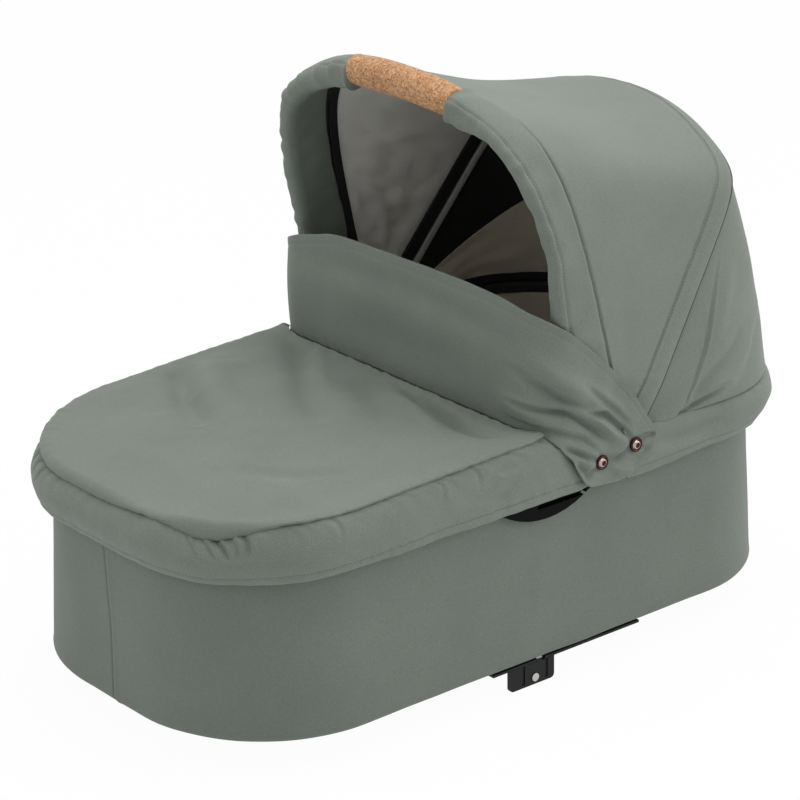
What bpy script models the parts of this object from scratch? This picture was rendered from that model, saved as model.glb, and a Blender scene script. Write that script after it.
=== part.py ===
"""Carrycot for a pushchair: basket, apron, wind flap, folding hood with a grip, frame adapters.

Metres. +X runs to the head end, -Y is the near side, +Z is up. The origin is the middle of
the base's underside. Names ending in _near lie at -Y, those ending in _far at +Y.
"""
import bmesh
import bpy
from math import asin, atan, atan2, cos, exp, hypot, pi, radians, sin, sqrt
from mathutils import Matrix, Vector

# Clearances
GAP = 0.0003            # between pieces that touch
SEAM_GAP = 0.0008       # between two fabric edges sewn side by side
OVERCUT = 0.002         # how far a cutter runs past the face it opens

# Basket plan, measured where the apron's hem hangs
HALF_LENGTH = 0.4085
HALF_WIDTH = 0.2225
FOOT_RADIUS = 0.165
HEAD_RADIUS = 0.138
CORNER_STEPS = 7

# Basket heights
WALL_TOP = 0.2415
UPRIGHT = 0.064         # the sides are upright for this far below the rim's top
TRAY_RIM = 0.040
EDGE_RADIUS = 0.012     # lower outer edge of the cover

# Basket layers
COVER_FLARE = 0.009     # how much further out the cover is at the bottom
WALL_FLARE = 0.004
COVER_THICK = 0.0027
COVER_HEM = 0.0315      # how far the cover turns in under the base
WALL_THICK = 0.004
LINING_THICK = 0.0027
TRAY_FLOOR = 0.006
RIM_WIDTH = 0.0117
RIM_HEIGHT = 0.0122
RIM_OUTSIDE = 0.0012
MATTRESS_THICK = 0.042
MATTRESS_EDGE_GAP = 0.004
MATTRESS_CROWN = 0.007
MATTRESS_WAIST = 0.002  # how far its sides are drawn in
# Outline of the mattress in side heights, as (inwards, up from its underside)
MATTRESS_SIDE = ((0.34, 0.0), (0.09, 0.12), (0.0, 0.3))
MATTRESS_SHOULDER = ((0.0, 0.77), (0.12, 1.0))
# Its top as (inwards in side heights, up in crown heights)
MATTRESS_TOP = ((0.6, 0.35), (1.7, 0.8), (3.1, 1.0))

# Apron and its skirt
FABRIC = 0.0025
FOLD_X = 0.0            # where the wind flap stands up from the apron
SEAM_RISE = 0.0150      # of the apron's edge seam, from the foot to the fold
SEAM_OUT = 0.012
SEAM_SHOULDER = 0.003   # where the apron turns down over the rim, out from the plan
SEAM_DROOP = 0.009      # how far the seam hangs below the rim at the foot end
DROOP_FROM_X = -0.10
DROOP_FULL_X = -0.33
HEM_OUT = 0.015
HEM_DROP = 0.0610       # from the rim's top to the hem
SKIRT_PUFF = 0.008      # bulge of the skirt at the foot end, half way down
SKIRT_END_LOW = 0.060   # how far the hem runs back past the fold
SKIRT_END_HIGH = 0.002
APRON_CROWN = 0.010
APRON_RINGS = 8
FOLD_STEPS = 8
# Soft folds of the apron: where each crosses the middle, its slant and its height
APRON_FOLDS = ((-0.30, 0.55, 0.0022), (-0.17, 0.30, 0.0030), (-0.08, 0.15, 0.0020))
FOLD_WIDTH = 0.022

# Wind flap
FLAP_HEIGHT = 0.1445
FLAP_CORNER = 0.055     # radius of the turn from the front to the wings
FLAP_CORNER_DROP = 0.047
FLAP_PLACES = (-0.7, -0.25, 0.25, 0.7)  # stations across its front, as shares of the half width
FLAP_HINGE_RISE = 0.0195  # of the fold above the rim
WING_TIP_X = 0.166
# Wing outline behind the corner, as (x, height above the rim): lower edge, then upper edge
WING_LOW = ((0.066, -0.058), (0.092, -0.058), (0.115, -0.058), (0.126, -0.057), (WING_TIP_X, -0.024))
WING_HIGH = ((0.075, 0.097), (0.098, 0.075), (0.121, 0.049), (0.145, 0.015), (WING_TIP_X, -0.014))
# The same below the flap's corner, along the skirt's end
WING_FRONT_LOW = ((0.012, 0.009), (0.032, -0.011))
WING_CORNER_LOW = -0.034

# Press studs on each side, as (x, height above the rim)
STUDS = ((0.0855, -0.0335), (0.1365, -0.0260))
CAP_RADIUS = 0.0070
CAP_THICK = 0.0030
# Outer face of the cap, as shares of its radius and thickness
CAP_FACE = ((1.0, 0.5), (0.72, 1.0), (0.3, 0.8))
SHANK_RADIUS = 0.0020
SOCKET_RADIUS = 0.0050
SOCKET_THICK = 0.0012

# Hood pivot and its stack outwards from the cover
PIVOT_X = 0.115
PIVOT_DROP = 0.044      # below the rim's top
HUB_RADIUS = 0.020
HUB_THICK = 0.0017
MIDDLE_BOW_THICK = 0.0020
BUSH_LENGTH = 0.0026
FRONT_BOW_THICK = 0.0030
PIN_RADIUS = 0.0030
PIN_HEAD_RADIUS = 0.0065
PIN_HEAD_THICK = 0.0012
PIN_HEAD_FACE = 0.8     # radius of its flat face as a share of the head's
LEG_BELOW_PIVOT = 0.010

# Hood bows: angle back from upright about the pivot, reach from the pivot
FRONT_ANGLE = -15.5
FRONT_REACH = 0.4215
FRONT_WIDTH = 0.016
MIDDLE_ANGLE = 35.0
MIDDLE_REACH = 0.4080
MIDDLE_WIDTH = 0.008
CHANNEL_HALF = 0.012    # half the width of the sewn channel that the middle bow runs in
ARCH_STEPS = 20
NORMAL_STEP = 0.01      # between the two rays that give an arch's slope, in radians
LEG_UPRIGHT = 0.100     # the legs stay upright this far above the pivot
LEG_ROOM = 0.005        # from there up to where the arch starts
# Shape of each arch: fall of its top towards the sides, squareness of its corners, lean of its legs
FRONT_SHAPE = (0.036, 6.0, 0.0)
MIDDLE_SHAPE = (0.085, 26.0, 0.108)

# Hood fabric
SEAM_ANGLE = -14.0      # seam behind the front sleeve
SEAM_SHIFT = 0.0155
SEAM_OVER_BOW = 0.0045  # the panel's face at the seam lies this far outside the bow
HOOD_SIDE_OUT = 0.0080  # from the front bow's middle to the hood's side
HOOD_NARROWING = 0.0095  # of the hood's sides from the front seam to the middle bow
HOOD_ROWS = 5
HOOD_SAG = 0.018        # of the fabric between the two bows
REAR_START = 0.072      # where the rear panel's foot starts, behind the pivot
HOOD_LIFT = 0.0030      # the panels' feet above the band, and the lining's above the rim
LINING_FABRIC = 0.0018
LINING_SEAM_DEPTH = 0.012  # the lining's front edge lies this far inside the bow
MESH_SHARE = 0.34       # share of the rear lining that is vent mesh
MESH_HEM = 0.015        # share left between the mesh and the lining
LINING_REST = 0.0013    # of the rear lining's lower edge above the rim
BAND_OUT = 0.0153
BAND_START = 0.013      # where the band starts, behind the pivot
BAND_LOW = 0.066        # below the rim's top
BAND_TOP = 0.014
# Bulge of the band and the rear panel at the head end: at the band's top, middle and lower edge
BAND_PUFF = (0.009, 0.017, 0.001)
PUFF_FROM_END = 0.1785   # the bulge starts this far before the head end
PUFF_FULL_END = 0.0485   # and is full here

# Sleeve of the front bow and the grip
SLEEVE_FOOT = 0.086
SLEEVE_ROOM = 0.0012     # round the bow inside the sleeve
SLEEVE_FOOT_DEPTH = 0.0039
SLEEVE_DEPTH = 0.018    # padding inside the bow, above the foot
SLEEVE_OUTSIDE = 0.0080
SLEEVE_TOP_OUTSIDE = 0.0095
SLEEVE_REAR_INSIDE = 0.026
SLEEVE_FRONT_LOW = 0.030
SLEEVE_FRONT_WIDE = 0.036
SLEEVE_FRONT_TOP = 0.021
# Shares of the sleeve's length where its padding and its front are full, and its front narrows
SLEEVE_PAD_FULL = 0.22
SLEEVE_WIDE_FULL = 0.4
SLEEVE_NARROW_FROM = 0.6
# Rounding of the sleeve's outline: distance from its rear or front edge, share of its height
SLEEVE_REAR_OUTER = ((0.0, 0.1), (0.001, 0.6), (0.008, 1.0))
SLEEVE_FRONT_OUTER = ((0.014, 0.9), (0.003, 0.4))
SLEEVE_FRONT_INNER = ((0.0, 0.3), (0.004, 0.8), (0.014, 1.0))
SLEEVE_REAR_INNER = ((0.010, 1.0), (0.001, 0.6))
GRIP_HALF_LENGTH = 0.087
GRIP_END_GAP = 0.0016
GRIP_ROOM = 0.0005       # round the bow inside the grip
GRIP_RADIUS = 0.0178
GRIP_TAPER = 0.14       # thinning towards its ends

# Side housing and release lever
HOUSING_FROM_X = -0.062
HOUSING_TO_X = 0.092
HOUSING_TOP = -0.030    # these heights are measured from the rim's top
HOUSING_SHOULDER = -0.054
HOUSING_LOW = -0.0835
HOUSING_DEPTH = 0.0080
HOUSING_BACK = 0.0018
POCKET_FROM_X = 0.001
POCKET_TO_X = 0.072
POCKET_LOW = -0.070
POCKET_TOP = -0.035
LEVER_HEIGHT = 0.0100
LEVER_THICK = 0.0055
LEVER_END_GAP = 0.002
TAB_BORDER = 0.001
RELEASE_TRAVEL = 0.008

# Pull strip inside the wall
STRIP_X = 0.011
STRIP_WIDTH = 0.010
STRIP_THICK = 0.0014
STRIP_DEPTH = 0.0010    # its centre lies this far inside the wall's outer face
STRIP_ROOM = 0.0006

# Frame adapter
BRACKET_FROM_X = -0.0355
BRACKET_TO_X = 0.030
BRACKET_OUT = 0.004     # its outer face, out from the plan
BLADE_THICK = 0.0050
BOSS_FROM_X = 0.000     # the thicker part that holds the latch
BOSS_TO_X = 0.022
BOSS_THICK = 0.027
BRACKET_LOW_Z = -0.030
BRACKET_CORNER = 0.005
GROOVE_WIDTH = 0.0045
GROOVE_DEPTH = 0.0012
GROOVE_END = 0.0035     # the grooves stop this far above the lower edge
GROOVES_X = (-0.0160, 0.0180)
DISC_X = 0.0015
DISC_Z = -0.0215
DISC_RADIUS = 0.0048
DISC_THICK = 0.0009
PLATE_FROM_X = -0.060
PLATE_TO_X = 0.160
PLATE_WIDTH = 0.0615
PLATE_THICK = 0.003
SCREWS_X = (-0.052, 0.060, 0.147)
SCREW_IN = 0.013        # from the plate's inner edge
SCREW_HEAD_RADIUS = 0.0040
SCREW_HEAD_THICK = 0.0021
SCREW_HEAD_FACE = 0.7   # radius of its flat face as a share of the head's
SCREW_SHANK_RADIUS = 0.0019
SCREW_DEPTH = 0.005
LATCH_WIDTH = 0.016
LATCH_HEIGHT = 0.010
LATCH_NOSE = 0.0035     # how far the latch stands out of the bracket
BRACKET_FLOOR = 0.0009
SPRING_RADIUS = 0.0028
SPRING_WIRE = 0.0004
SPRING_TURNS = 4

SIDES = (("near", -1.0), ("far", 1.0))

# Heights and places that follow from the wall and the plan
RIM_TOP = WALL_TOP + GAP + RIM_HEIGHT
FLARE_TOP = RIM_TOP - UPRIGHT
PIVOT_Z = RIM_TOP - PIVOT_DROP
HEM_Z = RIM_TOP - HEM_DROP
FLAP_HINGE_Z = RIM_TOP + FLAP_HINGE_RISE
BAND_TOP_Z = RIM_TOP - BAND_TOP
BAND_LOW_Z = RIM_TOP - BAND_LOW
BAND_START_X = PIVOT_X + BAND_START
PANEL_FOOT_Z = BAND_TOP_Z + HOOD_LIFT
LINING_FOOT_Z = RIM_TOP + HOOD_LIFT
BRACKET_Y = HALF_WIDTH + BRACKET_OUT
ARCH_START = atan((LEG_UPRIGHT + LEG_ROOM) / HALF_WIDTH)
PUFF_FROM_X = HALF_LENGTH - PUFF_FROM_END
PUFF_FULL_X = HALF_LENGTH - PUFF_FULL_END


# Materials

def srgb(value):
    """One 0-255 display value as a linear one."""
    share = value / 255.0
    if share <= 0.04045:
        return share / 12.92
    return ((share + 0.055) / 1.055) ** 2.4


def material(name, red, green, blue, roughness, metallic=0.0):
    """A Principled material from a display colour."""
    made = bpy.data.materials.new(name)
    made.use_nodes = True
    shader = made.node_tree.nodes["Principled BSDF"]
    shader.inputs["Base Color"].default_value = (srgb(red), srgb(green), srgb(blue), 1.0)
    shader.inputs["Roughness"].default_value = roughness
    shader.inputs["Metallic"].default_value = metallic
    made.diffuse_color = (srgb(red), srgb(green), srgb(blue), 1.0)
    return made


# Colour and roughness of each finish: sage fabric, grey lining, black plastic and so on
FINISHES = {
    "fabric": (116, 126, 116, 0.9, 0.0),
    "flap": (98, 106, 97, 0.9, 0.0),
    "lining": (150, 150, 145, 0.9, 0.0),
    "mesh": (12, 12, 12, 0.8, 0.0),
    "cork": (191, 145, 104, 0.85, 0.0),
    "black": (31, 30, 31, 0.5, 0.0),
    "plastic": (52, 53, 51, 0.45, 0.0),
    "board": (205, 203, 196, 0.7, 0.0),
    "metal": (170, 172, 175, 0.35, 1.0),
    "copper": (92, 62, 54, 0.3, 1.0),
    "disc": (215, 215, 212, 0.4, 0.0),
    "ticking": (232, 231, 226, 0.9, 0.0),
}


# Mesh helpers

def add_object(name, verts, faces, finish):
    """A named object from points and faces, with its own material."""
    mesh = bpy.data.meshes.new(name)
    mesh.from_pydata([tuple(v) for v in verts], [], faces)
    mesh.update()
    made = bpy.data.objects.new(name, mesh)
    bpy.context.scene.collection.objects.link(made)
    mesh.materials.append(material(name, *FINISHES[finish]))
    mesh.shade_smooth()
    mesh.set_sharp_from_angle(angle=radians(35))
    return made


def outward(made):
    """Turn the faces of a closed mesh to point out."""
    work = bmesh.new()
    work.from_mesh(made.data)
    bmesh.ops.recalc_face_normals(work, faces=work.faces)
    work.to_mesh(made.data)
    work.free()
    made.data.set_sharp_from_angle(angle=radians(35))
    return made


def loft(name, rings, finish, closed=False):
    """Skin equal rings of points. A closed path has no ends, an open one gets caps."""
    count = len(rings[0])
    verts = [point for ring in rings for point in ring]
    faces = []
    spans = len(rings) if closed else len(rings) - 1
    for i in range(spans):
        low = i * count
        high = ((i + 1) % len(rings)) * count
        for k in range(count):
            following = (k + 1) % count
            faces.append((low + k, low + following, high + following, high + k))
    if not closed:
        faces.append(tuple(range(count)))
        faces.append(tuple(range(len(verts) - count, len(verts))))
    return outward(add_object(name, verts, faces, finish))


def pipe(name, outer, inner, finish):
    """Skin an open path that has a hole running through it."""
    count = len(outer[0])
    last = len(outer) - 1
    verts = [point for ring in outer for point in ring]
    offset = len(verts)
    verts += [point for ring in inner for point in ring]
    faces = []
    for i in range(last):
        for start in (0, offset):
            low = start + i * count
            for k in range(count):
                following = (k + 1) % count
                faces.append((low + k, low + following, low + count + following, low + count + k))
    for low in (0, last * count):
        for k in range(count):
            following = (k + 1) % count
            faces.append((low + k, low + following, offset + low + following, offset + low + k))
    return outward(add_object(name, verts, faces, finish))


def sheet(name, grid, thick, finish, side):
    """Fabric of one thickness. side +1 or -1 says which way of the grid's normals it grows."""
    columns = len(grid[0])
    verts = [point for row in grid for point in row]
    faces = []
    for i in range(len(grid) - 1):
        for k in range(columns - 1):
            low = i * columns + k
            faces.append((low, low + 1, low + columns + 1, low + columns))
    made = add_object(name, verts, faces, finish)
    solid = made.modifiers.new("thickness", "SOLIDIFY")
    solid.thickness = thick
    solid.offset = side
    return made


def box(name, low, high, finish):
    """A block between two corners."""
    made = add_object(name, *block_shape(low, high), finish)
    return outward(made)


def block_shape(low, high):
    """Points and faces of a block."""
    verts = [(x, y, z) for z in (low[2], high[2]) for y in (low[1], high[1]) for x in (low[0], high[0])]
    faces = [(0, 2, 3, 1), (4, 5, 7, 6), (0, 1, 5, 4), (2, 6, 7, 3), (0, 4, 6, 2), (1, 3, 7, 5)]
    return verts, faces


def prism(name, outline, start, end, finish):
    """An outline of (x, z) points pushed along Y between two places."""
    rings = [[Vector((x, place, z)) for x, z in outline] for place in (start, end)]
    return loft(name, rings, finish)


def turned(name, profile, centre, axis, steps, finish):
    """A profile of (radius, place) turned about a line along Y or Z through centre."""
    rings = []
    for radius, place in profile:
        ring = []
        for k in range(steps):
            turn = 2 * pi * k / steps
            across = radius * cos(turn)
            along = radius * sin(turn)
            if axis == "y":
                ring.append(Vector((centre[0] + across, place, centre[1] + along)))
            else:
                ring.append(Vector((centre[0] + across, centre[1] + along, place)))
        rings.append(ring)
    return loft(name, rings, finish)


def cutter(made):
    """Turn an object into a hidden guide for a cut."""
    made.hide_render = True
    made.display_type = "WIRE"
    return made


def combine(made, other, operation):
    """Join or cut one object with another."""
    change = made.modifiers.new(other.name, "BOOLEAN")
    change.operation = operation
    change.solver = "EXACT"
    change.object = cutter(other)


def cut_round(targets, name, centre, axis, radius, start, end):
    """Cut one round hole out of several objects."""
    tool = turned(name, [(radius, start), (radius, end)], centre, axis, 16, "black")
    for made in targets:
        combine(made, tool, "DIFFERENCE")


def smooth_step(share):
    """Ease from 0 to 1."""
    share = min(max(share, 0.0), 1.0)
    return share * share * (3.0 - 2.0 * share)


def mix(a, b, share):
    """A value between two others."""
    return a + (b - a) * share


# The basket's plan

def corner_arc(end, side, grow, reverse):
    """One corner of the plan, from the end face to the side, or the other way."""
    radius = FOOT_RADIUS if end < 0 else HEAD_RADIUS
    centre_x = end * (HALF_LENGTH - radius)
    centre_y = side * (HALF_WIDTH - radius)
    arc = []
    for k in range(CORNER_STEPS + 1):
        turn = 0.5 * pi * k / CORNER_STEPS
        x = centre_x + end * (radius + grow) * cos(turn)
        y = centre_y + side * (radius + grow) * sin(turn)
        arc.append((x, y))
    return arc[::-1] if reverse else arc


def plan_loop(grow):
    """The whole plan, moved outwards by grow."""
    loop = corner_arc(1, -1, grow, True)
    loop += corner_arc(1, 1, grow, False)
    loop += corner_arc(-1, 1, grow, True)
    loop += corner_arc(-1, -1, grow, False)
    return loop


def end_path(end, grow, start_x):
    """The plan from the near side at start_x round one end to the far side."""
    side_y = HALF_WIDTH + grow
    path = [(start_x, -side_y)]
    path += corner_arc(end, -1, grow, True)
    path += corner_arc(end, 1, grow, False)
    path.append((start_x, side_y))
    return path


def bulged_path(end, grow, puff, start_x, from_x, full_x):
    """An end path that bulges further out, by puff, from one place along X to another."""
    path = []
    for slim, wide in zip(end_path(end, grow, start_x), end_path(end, grow + puff, start_x)):
        share = smooth_step((slim[0] - from_x) / (full_x - from_x))
        path.append((mix(slim[0], wide[0], share), mix(slim[1], wide[1], share)))
    return path


def plan_solid(name, profile, finish, closed):
    """Skin a profile of (grow, height) round the plan."""
    loops = [[Vector((x, y, height)) for x, y in plan_loop(grow)] for grow, height in profile]
    return loft(name, loops, finish, closed=closed)


def flare(height, amount):
    """How far a side leans out at one height."""
    return amount * max(0.0, 1.0 - height / FLARE_TOP)


def wall_face(height):
    """The outer face of the stiff wall, measured from the plan."""
    return flare(height, WALL_FLARE) - COVER_THICK - GAP


def wall_inside(height):
    """The inner face of the stiff wall."""
    return wall_face(height) - WALL_THICK


def edge_round(face, radius, steps):
    """The round lower edge of a shell, from its underside to its side."""
    points = []
    for k in range(steps + 1):
        turn = 0.5 * pi * k / steps
        points.append((face - radius + radius * sin(turn), EDGE_RADIUS - radius * cos(turn)))
    return points


# Basket

def make_tray():
    """Moulded base: a flat pad, a recess for the cover's hem and an upturned rim."""
    pad = -COVER_HEM - SEAM_GAP
    recess = COVER_THICK + GAP
    face = wall_face(EDGE_RADIUS)
    profile = [(pad, 0.0), (pad, recess)]
    profile += edge_round(face, EDGE_RADIUS - recess, 3)
    profile += [(wall_face(TRAY_RIM), TRAY_RIM), (wall_inside(TRAY_RIM), TRAY_RIM)]
    profile.append((wall_inside(TRAY_FLOOR), TRAY_FLOOR))
    return plan_solid("base_tray", profile, "plastic", False)


def make_wall():
    """Stiff board that stands on the tray's rim."""
    low = TRAY_RIM + GAP
    heights = (low, FLARE_TOP, WALL_TOP)
    profile = [(wall_face(z), z) for z in heights]
    profile += [(wall_inside(z), z) for z in reversed(heights)]
    return plan_solid("wall_shell", profile, "board", True)


def make_cover():
    """Padded outer cover, turned in under the base."""
    outside = flare(EDGE_RADIUS, COVER_FLARE)
    inside = wall_face(EDGE_RADIUS) + GAP
    profile = [(-COVER_HEM, 0.0)]
    profile += edge_round(outside, EDGE_RADIUS, 4)
    profile += [(0.0, FLARE_TOP), (0.0, WALL_TOP), (-COVER_THICK, WALL_TOP), (-COVER_THICK, FLARE_TOP)]
    profile += edge_round(inside, EDGE_RADIUS - COVER_THICK, 3)[::-1]
    profile.append((-COVER_HEM, COVER_THICK))
    return plan_solid("outer_cover", profile, "fabric", True)


def make_lining():
    """Quilted lining of the wall."""
    heights = (TRAY_FLOOR + GAP, FLARE_TOP, WALL_TOP)
    profile = [(wall_inside(z) - GAP, z) for z in heights]
    profile += [(wall_inside(z) - GAP - LINING_THICK, z) for z in reversed(heights)]
    return plan_solid("wall_lining", profile, "lining", True)


def make_rim():
    """Stiff rim rail on top of the wall."""
    low = WALL_TOP + GAP
    out = RIM_OUTSIDE
    inner = RIM_OUTSIDE - RIM_WIDTH
    chamfer = 0.25 * RIM_WIDTH
    profile = [(inner, low), (out, low), (out, RIM_TOP - chamfer), (out - chamfer, RIM_TOP)]
    profile += [(inner + chamfer, RIM_TOP), (inner, RIM_TOP - chamfer)]
    return plan_solid("rim_frame", profile, "plastic", True)


def make_mattress():
    """Foam mattress with a crown and drawn-in sides."""
    low = TRAY_FLOOR + GAP
    side = MATTRESS_THICK - MATTRESS_CROWN
    high = low + side
    edge = wall_inside(TRAY_FLOOR) - LINING_THICK - MATTRESS_EDGE_GAP - WALL_FLARE
    profile = [(edge - inwards * side, low + up * side) for inwards, up in MATTRESS_SIDE]
    profile.append((edge - MATTRESS_WAIST, low + side / 2))
    profile += [(edge - inwards * side, low + up * side) for inwards, up in MATTRESS_SHOULDER]
    profile += [(edge - inwards * side, high + up * MATTRESS_CROWN) for inwards, up in MATTRESS_TOP]
    return plan_solid("mattress", profile, "ticking", False)


# Apron and skirt

def seam_height(x):
    """The apron lies on the rim at the foot and climbs to the fold."""
    share = (x + HALF_LENGTH) / (FOLD_X + HALF_LENGTH)
    return RIM_TOP + GAP + FABRIC + SEAM_RISE * min(max(share, 0.0), 1.0)


def edge_height(x):
    """The apron's edge seam, which hangs over the rim at the foot end."""
    return seam_height(x) - SEAM_DROOP * smooth_step((x - DROOP_FROM_X) / (DROOP_FULL_X - DROOP_FROM_X))


def apron_height(x, y, inward):
    """Height of the apron's upper face: a low crown and soft diagonal folds."""
    crown = APRON_CROWN * smooth_step(inward) * smooth_step((FOLD_X - x) / 0.12)
    folds = 0.0
    for start_x, slant, size in APRON_FOLDS:
        away = (x - start_x) - slant * y
        folds += size * exp(-(away / FOLD_WIDTH) ** 2)
    return seam_height(x) + crown + folds * smooth_step(2.0 * inward) * smooth_step((FOLD_X - x) / 0.05)


def apron_outline(grow, edge_x):
    """The apron's outline: round the foot end, then back along the fold."""
    line = end_path(-1, grow, edge_x)[::-1]
    return line + [(edge_x, mix(line[-1][1], line[0][1], k / FOLD_STEPS)) for k in range(1, FOLD_STEPS)]


def make_apron():
    """Sheet over the foot half, from the edge seam to the fold."""
    edge_x = FOLD_X - FABRIC - GAP - SEAM_GAP
    seam = [Vector((x, y, edge_height(x))) for x, y in apron_outline(SEAM_OUT, edge_x)]
    shoulder = apron_outline(SEAM_SHOULDER, edge_x - SEAM_OUT + SEAM_SHOULDER)
    centre = (-0.5 * HALF_LENGTH, 0.0)
    rings = [seam]
    for ring in range(APRON_RINGS):
        inward = ring / APRON_RINGS
        places = [(mix(x, centre[0], inward), mix(y, centre[1], inward)) for x, y in shoulder]
        rings.append([Vector((x, y, apron_height(x, y, inward))) for x, y in places])
    middle = Vector((centre[0], centre[1], apron_height(centre[0], centre[1], 1.0)))
    return disc_sheet("apron_top", rings, middle, FABRIC, "fabric")


def disc_sheet(name, rings, middle, thick, finish):
    """A sheet made of rings that shrink to one point, thickened downwards."""
    count = len(rings[0])
    verts = [point for ring in rings for point in ring] + [middle]
    faces = []
    for i in range(len(rings) - 1):
        for k in range(count):
            following = (k + 1) % count
            low = i * count
            faces.append((low + k, low + following, low + count + following, low + count + k))
    last = (len(rings) - 1) * count
    for k in range(count):
        faces.append((last + k, last + (k + 1) % count, len(verts) - 1))
    made = add_object(name, verts, faces, finish)
    solid = made.modifiers.new("thickness", "SOLIDIFY")
    solid.thickness = thick
    solid.offset = -1
    return made


def make_skirt():
    """Band that hangs from the apron's edge round the foot half."""
    rows = 4
    grid = []
    for row in range(rows + 1):
        share = row / rows
        out = mix(SEAM_OUT, HEM_OUT, share)
        puff = SKIRT_PUFF * sin(pi * share)
        end_x = mix(SKIRT_END_HIGH, SKIRT_END_LOW, share ** 0.8)
        line = []
        for x, y in bulged_path(-1, out, puff, end_x, DROOP_FROM_X, DROOP_FULL_X):
            top = edge_height(x) - FABRIC - GAP
            line.append(Vector((x, y, mix(top, HEM_Z, share))))
        grid.append(line)
    return sheet("apron_skirt", grid, FABRIC, "fabric", -1)


# Wind flap

def hood_half_width():
    """The hood's sides at the front seam, outer face."""
    return bow_places()[3] + FRONT_BOW_THICK / 2 + HOOD_SIDE_OUT


def wing_outer():
    """Outer face of the flap's wings, outside the hood's sides."""
    return hood_half_width() + SEAM_GAP + FABRIC


def flap_path():
    """Plan of the flap as (x, y, share of its turn): across the front, the ends turned back."""
    inner_y = wing_outer() - FLAP_CORNER
    front = FOLD_X - FABRIC
    far = []
    for k in range(CORNER_STEPS + 1):
        turn = 0.5 * pi * k / CORNER_STEPS
        share = 1.0 - cos(turn)
        far.append((front + FLAP_CORNER * share, inner_y + FLAP_CORNER * sin(turn), share))
    near = [(x, -y, share) for x, y, share in reversed(far)]
    middle = [(front, inner_y * place, 0.0) for place in FLAP_PLACES]
    return near + middle + far


def make_flap():
    """Panel that stands up in front of the hood's opening."""
    rows = 5
    grid = []
    for row in range(rows + 1):
        share = row / rows
        line = []
        for x, y, turned_back in flap_path():
            height = FLAP_HEIGHT - FLAP_CORNER_DROP * turned_back
            line.append(Vector((x, y, FLAP_HINGE_Z + height * share)))
        grid.append(line)
    return sheet("wind_flap", grid, FABRIC, "flap", 1)


def wing_edges():
    """Lower and upper edge of a wing, front to back, as (x, z)."""
    front = FOLD_X - FABRIC + FLAP_CORNER
    under = FLAP_HINGE_Z - SEAM_GAP
    low = [(x, RIM_TOP + rise) for x, rise in WING_FRONT_LOW]
    low += [(x, RIM_TOP + WING_CORNER_LOW) for x in (front + GAP, front + SEAM_GAP)]
    high = [(mix(low[0][0], front + GAP, k / 2), under) for k in range(3)]
    high.append((front + SEAM_GAP, FLAP_HINGE_Z + FLAP_HEIGHT - FLAP_CORNER_DROP))
    low += [(x, RIM_TOP + rise) for x, rise in WING_LOW]
    high += [(x, RIM_TOP + rise) for x, rise in WING_HIGH]
    return low, high


def make_wing(label, side):
    """Side of the flap, running back over the hood to the press studs."""
    low, high = wing_edges()
    rows = 4
    grid = []
    for row in range(rows + 1):
        share = row / rows
        line = []
        for (low_x, low_z), (high_x, high_z) in zip(low, high):
            height = mix(low_z, high_z, share)
            line.append(Vector((mix(low_x, high_x, share), side * wing_outer(), height)))
        grid.append(line)
    return sheet("flap_wing_" + label, grid, FABRIC, "flap", side)


def make_studs(label, side, band, wing):
    """Cap with its shank, and the socket that it snaps into behind the wing."""
    outer = wing_outer()
    inner_face = HALF_WIDTH + BAND_OUT - FABRIC - GAP
    tail = inner_face - SOCKET_THICK
    seat = outer + GAP
    for number, (x, rise) in enumerate(STUDS, start=1):
        spot = (x, RIM_TOP + rise)
        cap = [(SHANK_RADIUS, tail + GAP), (SHANK_RADIUS, seat), (CAP_RADIUS, seat)]
        cap += [(wide * CAP_RADIUS, seat + out * CAP_THICK) for wide, out in CAP_FACE]
        cap = [(radius, side * y) for radius, y in cap]
        turned("stud_cap_%s_%d" % (label, number), cap, spot, "y", 16, "copper")
        ring = [(SOCKET_RADIUS, side * inner_face), (SOCKET_RADIUS, side * tail)]
        socket = turned("stud_socket_%s_%d" % (label, number), ring, spot, "y", 12, "metal")
        targets = [socket, wing]
        if x > BAND_START_X:
            targets.append(band)
        cut_round(targets, "cut_stud_%s_%d" % (label, number), spot, "y", SHANK_RADIUS + GAP,
                  side * (tail - OVERCUT), side * (outer + OVERCUT))


# Hood arches

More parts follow.
